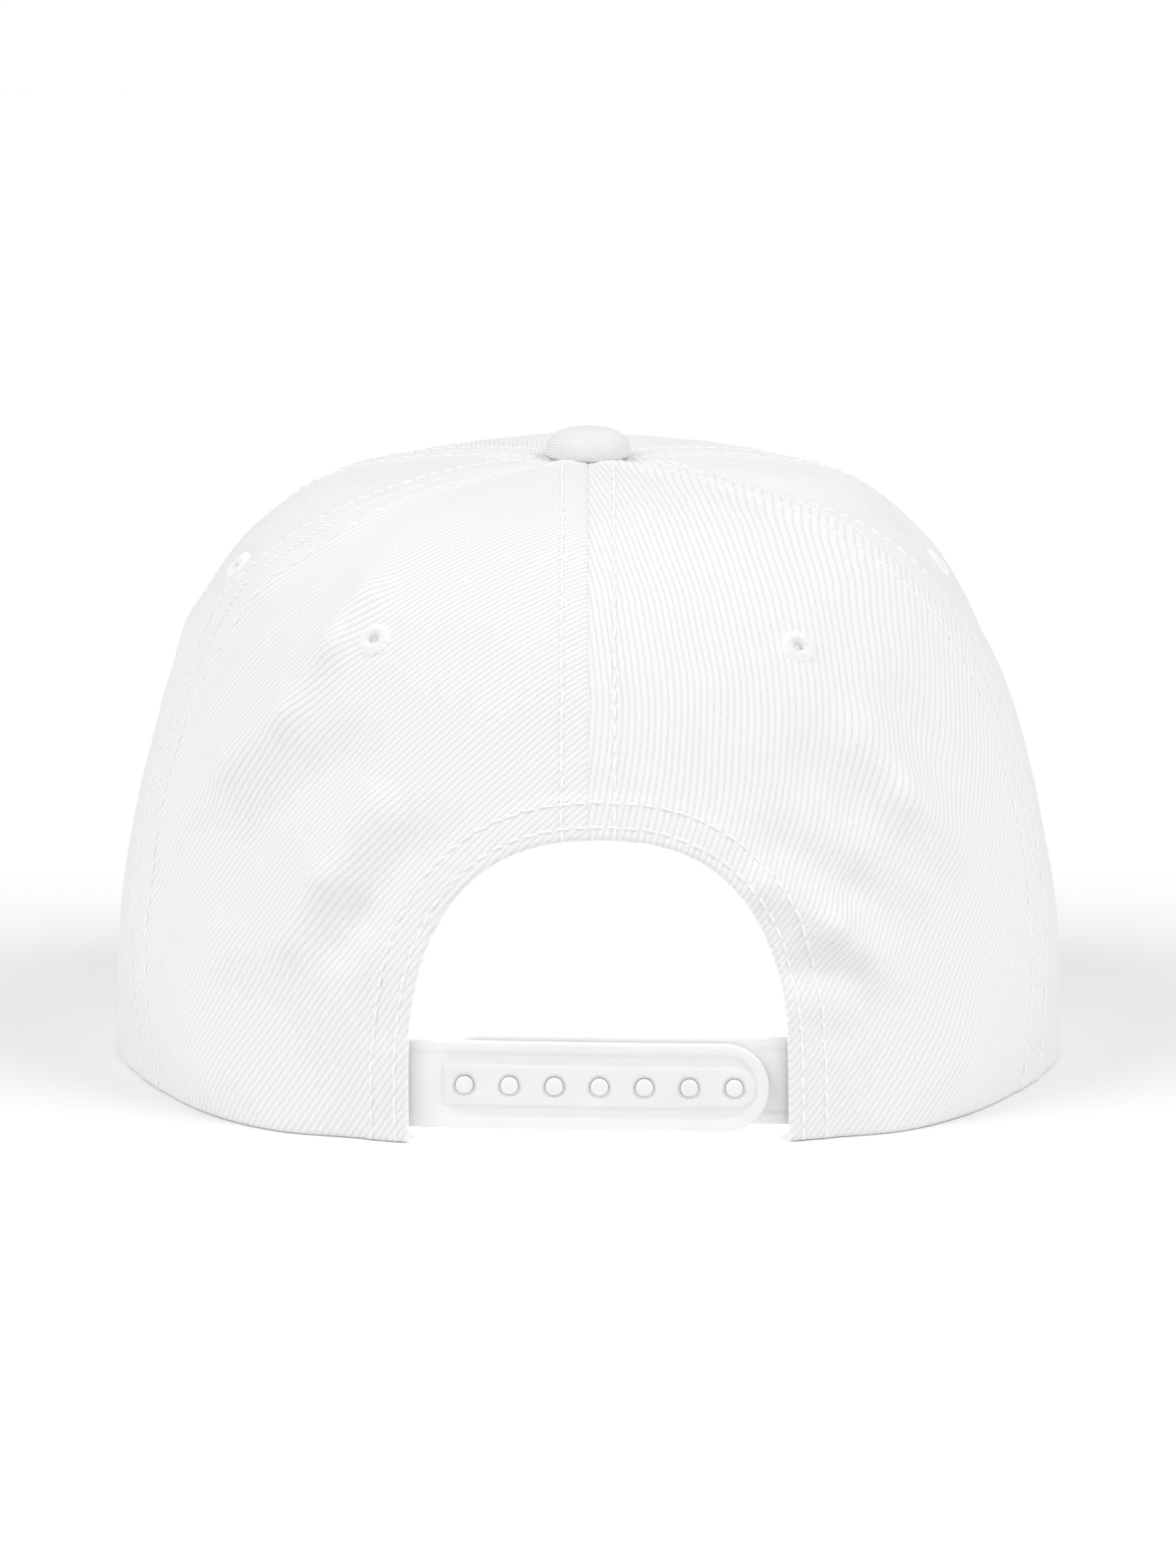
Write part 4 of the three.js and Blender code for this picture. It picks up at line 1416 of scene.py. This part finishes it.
@dataclass
class Eyelet:
    """An embroidered eyelet: a ring of radial satin stitches round a small hole."""

    place: EyeletPlace
    form: CrownForm
    diameter: float = 6.6
    hole: float = 1.55
    rise: float = 0.7
    depth: float = 2.4
    threads: int = 40
    oval: float = 0.34
    cutter_over: float = 0.45
    cutter_reach: float = 6.0
    cutter_sides: int = 24
    face_points: int = 13

    def seat(self) -> tuple[Array, Array, Array, Array]:
        """Its centre on the cloth, and the directions round, up and out of the wall there.

        Returns:
            The centre and the three unit vectors.
        """
        angle, level = np.radians(self.place.angle), np.float64(self.place.level)
        out = self.form.normal(angle, level)
        centre = self.form.point(angle, level) + out * self.form.unevenness(angle, level)
        side = unit(np.cross(np.array([0.0, 0.0, 1.0]), out))
        return centre, side, np.cross(out, side), out

    def ring(self, radius: Array, height: Array, turn: Array) -> Array:
        """Points at radii and heights over the wall, and turns about the eyelet's axis.

        Args:
            radius: Distances from its axis.
            height: Heights over the wall.
            turn: Turns in radians about the axis.

        Returns:
            The points.
        """
        centre, side, up, out = self.seat()
        radius, height, turn = np.broadcast_arrays(radius, height, turn)
        level = radius[..., None] * (np.cos(turn)[..., None] * side + np.sin(turn)[..., None] * up)
        return centre + level + height[..., None] * out

    def cutter(self) -> bpy.types.Object:
        """A round pin through the panel, hidden under the ring's threads."""
        turn = np.linspace(0, 2 * np.pi, self.cutter_sides, endpoint=False)
        radius = np.full((2, 1), self.hole / 2 + self.cutter_over)
        height = np.array([[-self.cutter_reach], [self.cutter_reach]])
        return write_turned("eyelet_cutter", self.ring(radius, height, turn))

    def build(self, thread: bpy.types.Material) -> None:
        """Makes the ring: a closed loop of profile, raised in ridges along each thread.

        The outer radius differs from thread to thread, and the ridges are the absolute cosine of
        half the threads' number times the turn.

        Args:
            thread: Its material.
        """
        draw = np.random.default_rng(hash_of(self.place.name))
        turn = np.linspace(0, 2 * np.pi, self.threads * 4, endpoint=False)[:, None]
        spread = np.repeat(draw.normal(0, 0.09, self.threads), 4)[:, None]
        share = np.linspace(0, 1, self.face_points)
        ridge = 0.72 + 0.28 * np.abs(np.cos(turn * self.threads / 2))
        slant = np.pi / 5 * np.sign(self.place.angle)
        oval = 1 + self.oval * np.cos(2 * turn - slant)
        start, end = self.hole / 2 * oval, self.diameter / 2 + spread
        face_radius = start + (end - start) * share
        arch = np.sin(np.pi * np.clip(share * 0.93 + 0.05, 0, 1)) ** 0.55
        face = -0.5 + (0.5 + self.rise * ridge) * arch
        back_share = np.linspace(1, 0, 6)[1:-1]
        back_radius = start + (end - start) * back_share * 0.62
        back = 0 * back_radius - 0.5 - (1 - back_share) * (self.depth - 0.5)
        radius = np.concatenate((face_radius, back_radius), axis=1)
        height = np.concatenate((face, back), axis=1)
        points = self.ring(radius, height, turn)
        faces = grid_faces(points.shape[0], points.shape[1], wrap=(True, True))
        obj = write_mesh(f"thread_eyelet_{self.place.name}", points, [faces])
        dress(obj, thread, Slot.THREAD, (f"eyelet_{self.place.name}",))


@dataclass
class ButtonForm:
    """The covered button on top: a domed cap of cloth gathered round its lower edge."""

    form: CrownForm
    diameter: float = 16.6
    height: float = 4.3
    clearance: float = 0.3
    shank: float = 4.4
    reach: float = 3.0
    gathers: int = 15
    hug: float = 1.2
    tilt: float = 0.04
    stretch: float = 2.0
    sides: int = 132
    dome_rings: int = 26

    def build(self, cloth: bpy.types.Material) -> None:
        """Makes the button from rings: shank, tucked underside, pinched edge and dome.

        Its edge lies against the cloth below it, and the whole leans a little to the back.

        Args:
            cloth: Its material.
        """
        turn = np.linspace(0, 2 * np.pi, self.sides, endpoint=False)
        rim, foot = self.diameter / 2, self.form.height + self.clearance
        base, top = foot - self.hug + 0.7, foot + self.height
        arc = np.linspace(0, 1, self.dome_rings)[:, None]
        dome_radius = rim * np.cos(arc * np.pi / 2) ** 0.72
        dome_height = base + (top - base) * np.sin(arc * np.pi / 2) ** 0.92
        stem, hug = self.shank / 2, self.hug
        under = np.array([stem, stem, rim * 0.80, rim * 0.93, rim * 0.985])
        drops = np.array([self.reach, 0.8 * hug, 0.8 * hug, hug, hug - 0.35])
        radius = np.concatenate((under[:, None], dome_radius[:-1]))
        height = np.concatenate((foot - drops[:, None], dome_height[:-1]))
        spread = running_length(np.hstack((radius, height)))
        spread = (spread[-1] - spread)[:, None] + radius[-1]
        edge = bump_at(rim, 1.1, radius) * bump_at(base, 1.1, height)
        gather = np.abs(np.sin(turn * self.gathers / 2 + 0.6 * np.sin(2 * turn))) - 0.5
        radius = radius * (1 + 0.012 * edge * gather) * (1 + 0.012 * np.cos(2 * turn))
        height = height + 0.06 * edge * gather - self.tilt * radius * np.cos(turn)
        across, deep = radius * np.sin(turn), radius * np.cos(turn)
        points = np.stack(np.broadcast_arrays(across, deep, height), axis=-1)
        parts = (spread * np.sin(turn), spread * np.cos(turn), 0 * spread * turn)
        weave = np.stack(parts, axis=-1) * self.stretch
        obj = write_turned("cloth_top_button", points, weave)
        dress(obj, cloth, Slot.TWILL, ("top_button",))


class Crown:
    """The six panels, their eyelets, the button and all the stitching of the crown."""

    def __init__(self, form: CrownForm, arch: ArchForm, sewing: SewingForm) -> None:
        """Sets up the panels, from the middle of the back round each side."""
        self.form = form
        self.panels: list[Panel] = []
        for word, sign in (("left", 1), ("right", -1)):
            self.panels.append(BackPanel(f"back_{word}", form, sewing, arch, sign))
            self.panels.append(Panel(f"side_{word}", form, sewing, (Seam.REAR, Seam.FORE), sign))
            self.panels.append(Panel(f"front_{word}", form, sewing, (Seam.FORE, Seam.FRONT), sign))
        self.stitch = sewing.stitch

    def build(self, cloth: bpy.types.Material, thread: bpy.types.Material) -> None:
        """Makes every piece of the crown.

        Args:
            cloth: Material of the panels and the button.
            thread: Material of the eyelets and the stitches.
        """
        eyelets = {place.name: Eyelet(place, self.form) for place in EYELETS}
        rings = []
        for panel in self.panels:
            eyelet = eyelets[panel.name]
            rings += panel.build(eyelet, cloth)
            eyelet.build(thread)
        obj = self.stitch.piece("thread_crown_stitches", np.concatenate(rings))
        dress(obj, thread, Slot.THREAD)
        ButtonForm(self.form).build(cloth)


# Brim and sweatband


@dataclass
class Brim:
    """The flat brim: a stiff board covered in twill, sewn in rows parallel to its edge."""

    form: CrownForm
    half_width: float = 92.5
    length: float = 69.0
    thickness: float = 3.2
    root: float = 24.0
    squareness: float = 2.6
    clearance: float = 0.3
    row_pitch: float = 6.2
    first_row: float = 5.0
    rows: int = 8
    columns: int = 181
    edge_points: int = 900
    dense_points: int = 4000
    near_points: int = 700
    out_length: float = 70.0
    out_cell: float = 1.15
    edge_cells: tuple = (0.1, 0.15, 0.25, 0.4, 0.5, 0.6)
    groove: float = 0.20
    first_seed: int = 400
    stitch: StitchForm = field(default_factory=lambda: StitchForm(sides=5, sections=6))

    def edge(self, share: Array) -> Array:
        """The outer edge in plan, half a superellipse from the right root to the left one.

        Args:
            share: Shares from 0 at the right root to 1 at the left one.

        Returns:
            x and y of the points.
        """
        turn = np.pi * (share - 0.5)
        power = 2 / self.squareness
        across = np.sign(np.sin(turn)) * np.abs(np.sin(turn)) ** power
        deep = np.abs(np.cos(turn)) ** power
        reach = self.form.front + self.length - self.root
        return np.stack((self.half_width * across, -self.root - reach * deep), axis=-1)

    def even_edge(self, count: int) -> Array:
        """The outer edge at even steps of its length."""
        dense = self.edge(np.linspace(0, 1, self.dense_points))
        return along(dense, np.linspace(0, 1, count))

    def from_edge(self, plan: Array) -> Array:
        """Distance in plan from the outer edge, to the nearest of many points on it.

        Args:
            plan: x and y of points.

        Returns:
            Their distances.
        """
        edge = self.even_edge(self.near_points)
        flat = plan.reshape(-1, 1, 2)
        away = np.sqrt(((flat - edge[None]) ** 2).sum(axis=-1)).min(axis=1)
        return away.reshape(plan.shape[:-1])

    def build(self, cloth: bpy.types.Material, thread: bpy.types.Material) -> None:
        """Makes the board with a rounded edge and grooves under its rows, and the stitches.

        Args:
            cloth: The board's material.
            thread: The stitches' material.
        """
        inner_share = np.arcsin(self.root / self.form.front)
        start = np.pi / 2 + inner_share
        shares = np.linspace(0, 1, self.columns)
        outer = self.even_edge(self.columns)
        angle = -start - (2 * np.pi - 2 * start) * shares
        inner = self.form.point(angle, np.zeros_like(angle), -self.clearance)[:, :2]
        out = 1 - graded_shares(self.out_length, self.out_cell, self.edge_cells)[::-1]
        plan = inner[:, None] + (outer - inner)[:, None] * out[None, ::-1, None]
        distance = self.from_edge(plan)
        half = self.thickness / 2
        swell = np.sqrt(half**2 - np.clip(half - distance, 0, half) ** 2)
        row_at = self.first_row + self.row_pitch * np.arange(self.rows)
        groove = sum(bump_at(row, 0.7, distance) for row in row_at) * self.groove
        middle = self.form.lift(plan[..., 0]) + half
        top = np.dstack((plan, middle + np.maximum(swell - groove, 0)))
        bottom = np.dstack((plan, middle - np.maximum(swell - groove, 0)))
        weave = np.dstack((plan, np.zeros(plan.shape[:2])))
        obj = write_shell("cloth_brim", top, bottom, weave)
        dress(obj, cloth, Slot.TWILL, ("brim",))
        rings = []
        for number, row in enumerate(row_at):
            rings += [self.row(row, number, face) for face in (1, -1)]
        dress(self.stitch.piece("thread_brim_stitches", np.concatenate(rings)), thread, Slot.THREAD)

    def row(self, inset: float, number: int, face: int) -> Array:
        """Rings of one row of stitches, on the top (1) or the underside (-1).

        Args:
            inset: The row's distance from the edge.
            number: The row's number.
            face: 1 for the top, -1 for the underside.

        Returns:
            Points by stitch, section and side.
        """
        edge = self.even_edge(self.edge_points)
        ahead = unit(np.gradient(edge, axis=0))
        inward = np.stack((ahead[:, 1], -ahead[:, 0]), axis=-1)
        inward *= np.sign(inward[self.edge_points // 2, 1])
        line = edge + inward * inset
        angle = np.arctan2(line[:, 0], line[:, 1])
        wall = self.form.radius(angle, np.zeros_like(angle)) + self.clearance
        clear = (np.hypot(line[:, 0], line[:, 1]) > wall + 0.6) & (line[:, 1] < -self.root)
        clear &= self.from_edge(line) > inset - 0.4
        line = line[clear]
        half = self.thickness / 2
        height = self.form.lift(line[:, 0]) + half + face * (half - self.groove)
        up = np.tile(np.array([0.0, 0.0, float(face)]), (len(line), 1))
        seed = self.first_seed + 2 * number + (face > 0)
        return self.stitch.rings(np.column_stack((line, height)), up, seed)


@dataclass
class Sweatband:
    """The band of cloth sewn inside the rim, open at the back."""

    form: CrownForm
    arch: ArchForm
    height: float = 31.0
    thickness: float = 1.2
    step: float = 16.0
    tab_length: float = 12.0
    tab_room: float = 2.4
    strap: float = 1.3
    clearance: float = 0.3
    columns: int = 331
    wave: float = 0.06
    waves_up: int = 41
    waves_round: int = 9
    stitch_seed: int = 77

    def depth(self, angle: Array) -> Array:
        """Depth of its outer face: it steps inwards where it covers a strap's tab.

        Args:
            angle: Plan angles in radians from -pi to pi.

        Returns:
            Depths.
        """
        side = np.sign(angle)
        tab_end = self.arch.shift * side + self.arch.half_width + self.tab_length
        past = (np.abs(angle) * self.form.back - tab_end) / self.step
        cover = 1 - smooth_step(0, 1, past)
        return self.form.cloth + 2 * self.clearance + cover * (self.strap + self.tab_room)

    def build(self, cloth: bpy.types.Material, thread: bpy.types.Material) -> None:
        """Makes the band between its two slanted ends, with a rounded top and a stitched edge.

        Args:
            cloth: The band's material.
            thread: The stitches' material.
        """
        top = float(level_at(self.height / self.form.height))
        level = top * graded_shares(self.height, 1.1, (0.2, 0.4), (0.1, 0.15, 0.25, 0.4))
        rise = self.form.height * curve_through(SECTIONS, "rise", level)
        ends = []
        for sign in (1, -1):
            x = self.arch.edge_x(rise, sign, self.thickness + 0.2)
            deep = self.form.cloth + 2 * self.clearance + self.strap + self.tab_room
            ends.append(np.abs(self.form.place_of(x, rise, deep)[0]))
        shares = np.linspace(0, 1, self.columns)
        angle = ends[0][:, None] + (2 * np.pi - ends[1] - ends[0])[:, None] * shares
        wrapped = np.arctan2(np.sin(angle), np.cos(angle))
        levels = np.repeat(level[:, None], len(shares), axis=1)
        depth = self.depth(wrapped)
        base = self.form.smooth_point(angle, levels)
        normal = self.form.normal(angle, levels)
        folds = self.form.folds(angle, levels) - depth
        base = base + normal * folds[..., None]
        radius = self.thickness / 2
        draw_in = round_over(distance_from(base, Side.LAST_ROW), radius)
        wave = self.wave * np.sin(levels / top * self.waves_up) * np.sin(angle * self.waves_round)
        outer = base + normal * draw_in[..., None]
        inner = base - normal * (self.thickness + draw_in + wave)[..., None]
        run = running_length(base)[..., None]
        weave = np.concatenate((run, (rise[:, None] + 0 * angle)[..., None], 0 * run), axis=-1)
        obj = write_shell("cloth_sweatband", outer, inner, weave)
        dress(obj, cloth, Slot.LINING, ("sweatband",))
        row = int(np.argmin(np.abs(level - top * 0.9)))
        stitch = StitchForm(sides=5, sections=6)
        stitches = stitch.rings(inner[row], -normal[row], self.stitch_seed)
        dress(stitch.piece("thread_sweatband_stitches", stitches), thread, Slot.THREAD)


# Snap straps


@dataclass
class Straps:
    """The two plastic straps: the outer one with its holes over the inner one with its pegs."""

    form: CrownForm
    arch: ArchForm
    height: float = 16.4
    thickness: float = 1.3
    level: float = 10.0
    slope: float = 0.014
    bow: float = 1.0
    bend: float = 0.6
    tab: float = 12.0
    inner_raise: float = 1.1
    outer_end: float = 33.0
    past_peg: float = 4.5
    border: float = 1.9
    relief: float = 0.32
    roundness: float = 0.5
    bar_height: float = 7.1
    bar_past_hole: float = 3.7
    hole_count: int = 7
    hole_pitch: float = 8.18
    hole_row_middle: float = -2.05
    peg: float = 3.2
    peg_proud: float = 0.3
    sink: float = 4.9
    snug: float = 0.05
    clearance: float = 0.3
    outer_cell: float = 0.25
    inner_cell: float = 0.4
    sharp_from: float = 38.0
    halvings: int = 24
    pin_sides: int = 40

    def __post_init__(self) -> None:
        """Works out the walls' inner faces at the opening's two edges, and the holes."""
        self.left = self.arch.shift + self.arch.half_width
        self.right = self.arch.shift - self.arch.half_width
        walls = self.wall_inner(np.array([self.left, self.right])) - self.clearance
        self.left_wall, self.right_wall = walls
        number = np.arange(self.hole_count) - (self.hole_count - 1) / 2
        self.holes = self.hole_row_middle + number * self.hole_pitch

    def wall_inner(self, x: Array) -> Array:
        """y of the back wall's inner face over the straps' height, the least of three heights.

        Args:
            x: Distances from the middle.

        Returns:
            y at each x.
        """
        half = self.height / 2
        heights = (self.level - half, self.level, self.level + half + self.inner_raise)
        found = []
        for height in heights:
            level = level_at(height / self.form.height)
            low, high = np.zeros_like(x), np.full_like(x, np.pi / 2)
            side = np.where(x < 0, -1.0, 1.0)
            levels = np.full_like(x, level)
            for _ in range(self.halvings):
                middle = (low + high) / 2
                across = self.form.point(middle * side, levels, self.form.cloth)[:, 0]
                short = np.abs(across) < np.abs(x)
                low, high = np.where(short, middle, low), np.where(short, high, middle)
            found.append(self.form.point(low * side, levels, self.form.cloth)[:, 1])
        return np.minimum.reduce(found)

    def meeting(self, x: Array) -> Array:
        """y of the face where the straps meet: straight from wall to wall, with a slight bow."""
        share = (x - self.right) / (self.left - self.right)
        rise = self.left_wall - self.thickness - self.right_wall
        return self.right_wall + rise * share + self.bow * 4 * share * (1 - share)

    def face(self, x: Array, offset: float, side: int) -> Array:
        """y of a strap's outer face, bent smoothly behind the wall at its own tab.

        Args:
            x: Distances from the middle.
            offset: Offset from the face where the straps meet.
            side: 1 where its tab is on the wearer's left, -1 on the right.

        Returns:
            y at each x.
        """
        line = self.meeting(x) + offset
        wall = self.wall_inner(x) - self.clearance
        bent = (line + wall - np.hypot(line - wall, self.bend)) / 2
        return np.where(x * side > 0, bent, line)

    def slab(self, start: float, end: float, cell: float) -> tuple[Array, Array, Array]:
        """Grid of a strap in its own plane: x, height above its middle line, edge distance.

        The columns run straight and then round a half circle, and the rows are shares of the
        height there.

        Args:
            start: x of its sewn end.
            end: x of its round end.
            cell: Size of a cell.

        Returns:
            The three grids.
        """
        towards = np.sign(end - start)
        half = self.height / 2
        centre = end - towards * half
        straight = np.linspace(start, centre, int(abs(centre - start) / cell))
        turn = np.linspace(0, np.pi / 2 * 0.985, int(half * np.pi / 2 / cell))[1:]
        x = np.concatenate((straight, centre + towards * half * np.sin(turn)))
        reach = np.concatenate((np.full_like(straight, half), half * np.cos(turn)))
        edge = (0.05, 0.09, 0.14, 0.2)
        share = 2 * graded_shares(self.height, cell, edge, edge) - 1
        grid_x = np.repeat(x[:, None], len(share), axis=1)
        height = reach[:, None] * share
        past = np.clip((grid_x - centre) * towards, 0, None)
        from_start = np.abs(grid_x - start)
        inside = half - np.hypot(past, height)
        return grid_x, height, np.minimum(np.maximum(inside, 0), from_start)

    def solid(
        self, name: str, x: Array, height: Array, drop: tuple, middle: float, line: tuple
    ) -> bpy.types.Object:
        """A strap from its grid.

        Args:
            name: The piece's name.
            x: x of the grid's points.
            height: Their heights over the strap's middle line.
            drop: How far the outer and the inner face are sunk or rounded.
            middle: Height of the middle line.
            line: Offset from the face where the straps meet, side, and depths of both faces.

        Returns:
            The object.
        """
        offset, side, shallow, deep = line
        y = self.face(x.ravel(), offset, side).reshape(x.shape)
        z = middle + self.slope * x + height
        slope = np.gradient(y[:, 0], x[:, 0])[:, None]
        normal = unit(np.stack(np.broadcast_arrays(-slope, np.ones_like(slope), 0 * x), axis=-1))
        surface = np.stack((x, y, z), axis=-1)
        outer = surface - normal * (shallow + drop[0])[..., None]
        inner = surface - normal * (deep - drop[1])[..., None]
        return write_shell(name, outer, inner)

    def pin(
        self, name: str, x: float, middle: float, radii: tuple, places: tuple
    ) -> bpy.types.Object:
        """A turned pin along y at a hole, from its radii and places.

        Args:
            name: The object's name.
            x: x of the hole.
            middle: Height of the straps' middle line.
            radii: Its radii.
            places: y of each radius.

        Returns:
            The object.
        """
        turn = np.linspace(0, 2 * np.pi, self.pin_sides, endpoint=False)
        radius = np.array(radii)[:, None]
        y = np.array(places)[:, None]
        height = middle + self.slope * x + radius * np.sin(turn)
        parts = (x + radius * np.cos(turn), y + 0 * turn, height)
        return write_turned(name, np.stack(np.broadcast_arrays(*parts), axis=-1))

    def build_outer(self, plastic: bpy.types.Material) -> None:
        """Makes the outer strap: raised border, raised bar and countersunk holes.

        Args:
            plastic: Its material.
        """
        start, end = self.left + self.tab, -self.outer_end
        x, height, edge = self.slab(start, end, self.outer_cell)
        first = self.holes[-1] + self.bar_past_hole
        last = self.holes[0] - self.bar_past_hole
        bar_half = self.bar_height / 2
        past = np.clip(last + bar_half - x, 0, None)
        inside_bar = np.minimum(bar_half - np.hypot(past, height), first - x)
        inside_hollow = np.minimum(edge - self.border, start - 1 - x)
        hollow = smooth_step(-0.1, 0.6, inside_hollow) * (1 - smooth_step(-0.4, 0.1, inside_bar))
        rounding = -round_over(edge, self.roundness)
        drop = (self.relief * hollow + rounding, rounding * 0.6)
        line = (self.thickness, 1, 0.0, self.thickness - self.clearance / 2)
        obj = self.solid("plastic_strap_holes", x, height, drop, self.level, line)
        for hole in self.holes:
            y = float(self.face(np.array([hole]), self.thickness, 1)[0])
            bore = self.peg / 2 + self.snug
            radii = (bore, bore, self.sink / 2, self.sink / 2 + 0.5)
            places = (y - 3 * self.thickness, y - 0.6, y + 0.02, y + 0.4)
            combine(obj, self.pin("hole_cutter", hole, self.level, radii, places), "DIFFERENCE")
        self.crisp(obj)
        dress(obj, plastic, Slot.PLASTIC, ("strap_holes",))

    def build_inner(self, plastic: bpy.types.Material) -> None:
        """Makes the inner strap with a border like the outer one's, and its round pegs.

        Args:
            plastic: Its material.
        """
        middle = self.level + self.inner_raise
        start, end = self.right - self.tab, self.holes[-1] + self.past_peg
        x, height, edge = self.slab(start, end, self.inner_cell)
        rounding = -round_over(edge, self.roundness)
        border = self.relief * smooth_step(self.border, self.border + 0.6, edge)
        border *= smooth_step(self.outer_end - 3.0, self.outer_end - 1.5, -x)
        line = (0.0, -1, self.clearance / 2, self.thickness)
        drop = (rounding + border, rounding * 0.6)
        obj = self.solid("plastic_strap_pegs", x, height, drop, middle, line)
        for hole in self.holes:
            y = float(self.face(np.array([hole]), 0.0, -1)[0])
            radius, top = self.peg / 2, y + self.thickness + self.peg_proud
            radii = (radius, radius, radius * 0.93, radius * 0.72, radius * 0.35)
            places = (y - self.thickness / 2, top - 0.35, top - 0.12, top - 0.02, top)
            combine(obj, self.pin("peg", hole, self.level, radii, places), "UNION")
        self.crisp(obj)
        dress(obj, plastic, Slot.PLASTIC, ("strap_pegs",))

    def crisp(self, obj: bpy.types.Object) -> None:
        """Keeps hard corners sharp on a smooth-shaded piece."""
        obj.data.shade_smooth()
        obj.data.set_sharp_from_angle(angle=np.radians(self.sharp_from))


# Studio


@dataclass
class Studio:
    """Pale floor, soft lights and the camera at the photograph's angle."""

    elevation: float = 10.4
    distance: float = 1.330
    target_height: float = 0.051
    focal_pixels: float = 9044.0
    frame_height: int = 2048
    sensor: float = 36.0
    world: float = 0.58
    floor_reach: float = 30.0
    sun_place: tuple = (1.15, 0.54, 1.20)
    sun_spread: float = 40.0
    sun_strength: float = 1.22

    def build(self) -> None:
        """Makes the floor, the lights, the world and the camera."""
        self.floor()
        self.soft_light("left_light", 1)
        self.soft_light("right_light", -1)
        self.fill_light("hollow_light", (0.0, 0.0, 0.036), (0.110, 0.110), 0.10)
        self.fill_light("brim_light", (0.0, -0.112, 0.0042), (0.084, 0.046), 0.020)
        self.surroundings()
        self.camera()

    def floor(self) -> None:
        """A wide flat floor under the rim."""
        mesh = bpy.data.meshes.new("floor")
        reach = self.floor_reach
        corners = [(-reach, -reach, 0), (reach, -reach, 0), (reach, reach, 0), (-reach, reach, 0)]
        mesh.from_pydata(corners, [], [(0, 1, 2, 3)])
        mesh.materials.append(FloorFinish().material())
        obj = add_object("floor", mesh)

    def soft_light(self, name: str, sign: int) -> None:
        """An even soft light from above one side of the back.

        Args:
            name: The light's name.
            sign: 1 for the wearer's left, -1 for the right.
        """
        light = bpy.data.lights.new(name, "SUN")
        light.angle, light.energy = float(np.radians(self.sun_spread)), self.sun_strength
        obj = add_object(name, light)
        obj.location = (sign * self.sun_place[0], *self.sun_place[1:])
        aim = Vector((0.0, 0.04, 0.05)) - obj.location
        obj.rotation_euler = aim.to_track_quat("-Z", "Y").to_euler()

    def fill_light(self, name: str, place: tuple, size: tuple, power: float) -> None:
        """A flat lamp facing down, unseen itself, which lights the floor where little light gets.

        Args:
            name: The lamp's name.
            place: Its place in metres from the crown's axis and the floor.
            size: Its two sides in metres.
            power: Its power in watts.
        """
        light = bpy.data.lights.new(name, "AREA")
        light.shape = "RECTANGLE"
        light.size, light.size_y = size
        light.energy = power
        obj = add_object(name, light)
        obj.location = Vector(place) + Vector((float(ORIGIN[0]), float(ORIGIN[1]), 0.0))
        obj.visible_camera = False

    def surroundings(self) -> None:
        """An even white surround, and a plain view transform."""
        world = bpy.data.worlds.new("studio")
        world.use_nodes = True
        shade = world.node_tree.nodes["Background"]
        shade.inputs["Color"].default_value = (1.0, 1.0, 1.0, 1.0)
        shade.inputs["Strength"].default_value = self.world
        bpy.context.scene.world = world
        bpy.context.scene.view_settings.view_transform = "Standard"

    def camera(self) -> None:
        """The camera behind the cap, a little above its middle, with the photograph's framing."""
        data = bpy.data.cameras.new("camera")
        data.sensor_width = self.sensor
        data.lens = self.sensor * self.focal_pixels / self.frame_height
        data.clip_start, data.clip_end = 0.05, 100.0
        obj = add_object("camera", data)
        tilt = np.radians(self.elevation)
        away = Vector((0.0, float(np.cos(tilt)), float(np.sin(tilt))))
        target = Vector((float(ORIGIN[0]), float(ORIGIN[1]), self.target_height))
        obj.location = target + away * self.distance
        obj.rotation_euler = (-away).to_track_quat("-Z", "Y").to_euler()
        bpy.context.scene.camera = obj


CROWN = CrownForm()
ORIGIN = crown_origin()


def main() -> None:
    """Builds the cap's pieces in order, then the studio."""
    twill = TwillFinish("twill").material()
    thread = ThreadFinish("thread").material()
    lining = LiningFinish("lining").material()
    plastic = PlasticFinish("strap_plastic").material()
    arch = ArchForm()
    Crown(CROWN, arch, SewingForm()).build(twill, thread)
    Brim(CROWN).build(twill, thread)
    Sweatband(CROWN, arch).build(lining, thread)
    straps = Straps(CROWN, arch)
    straps.build_outer(plastic)
    straps.build_inner(plastic)
    Studio().build()


if __name__ == "__main__":
    main()
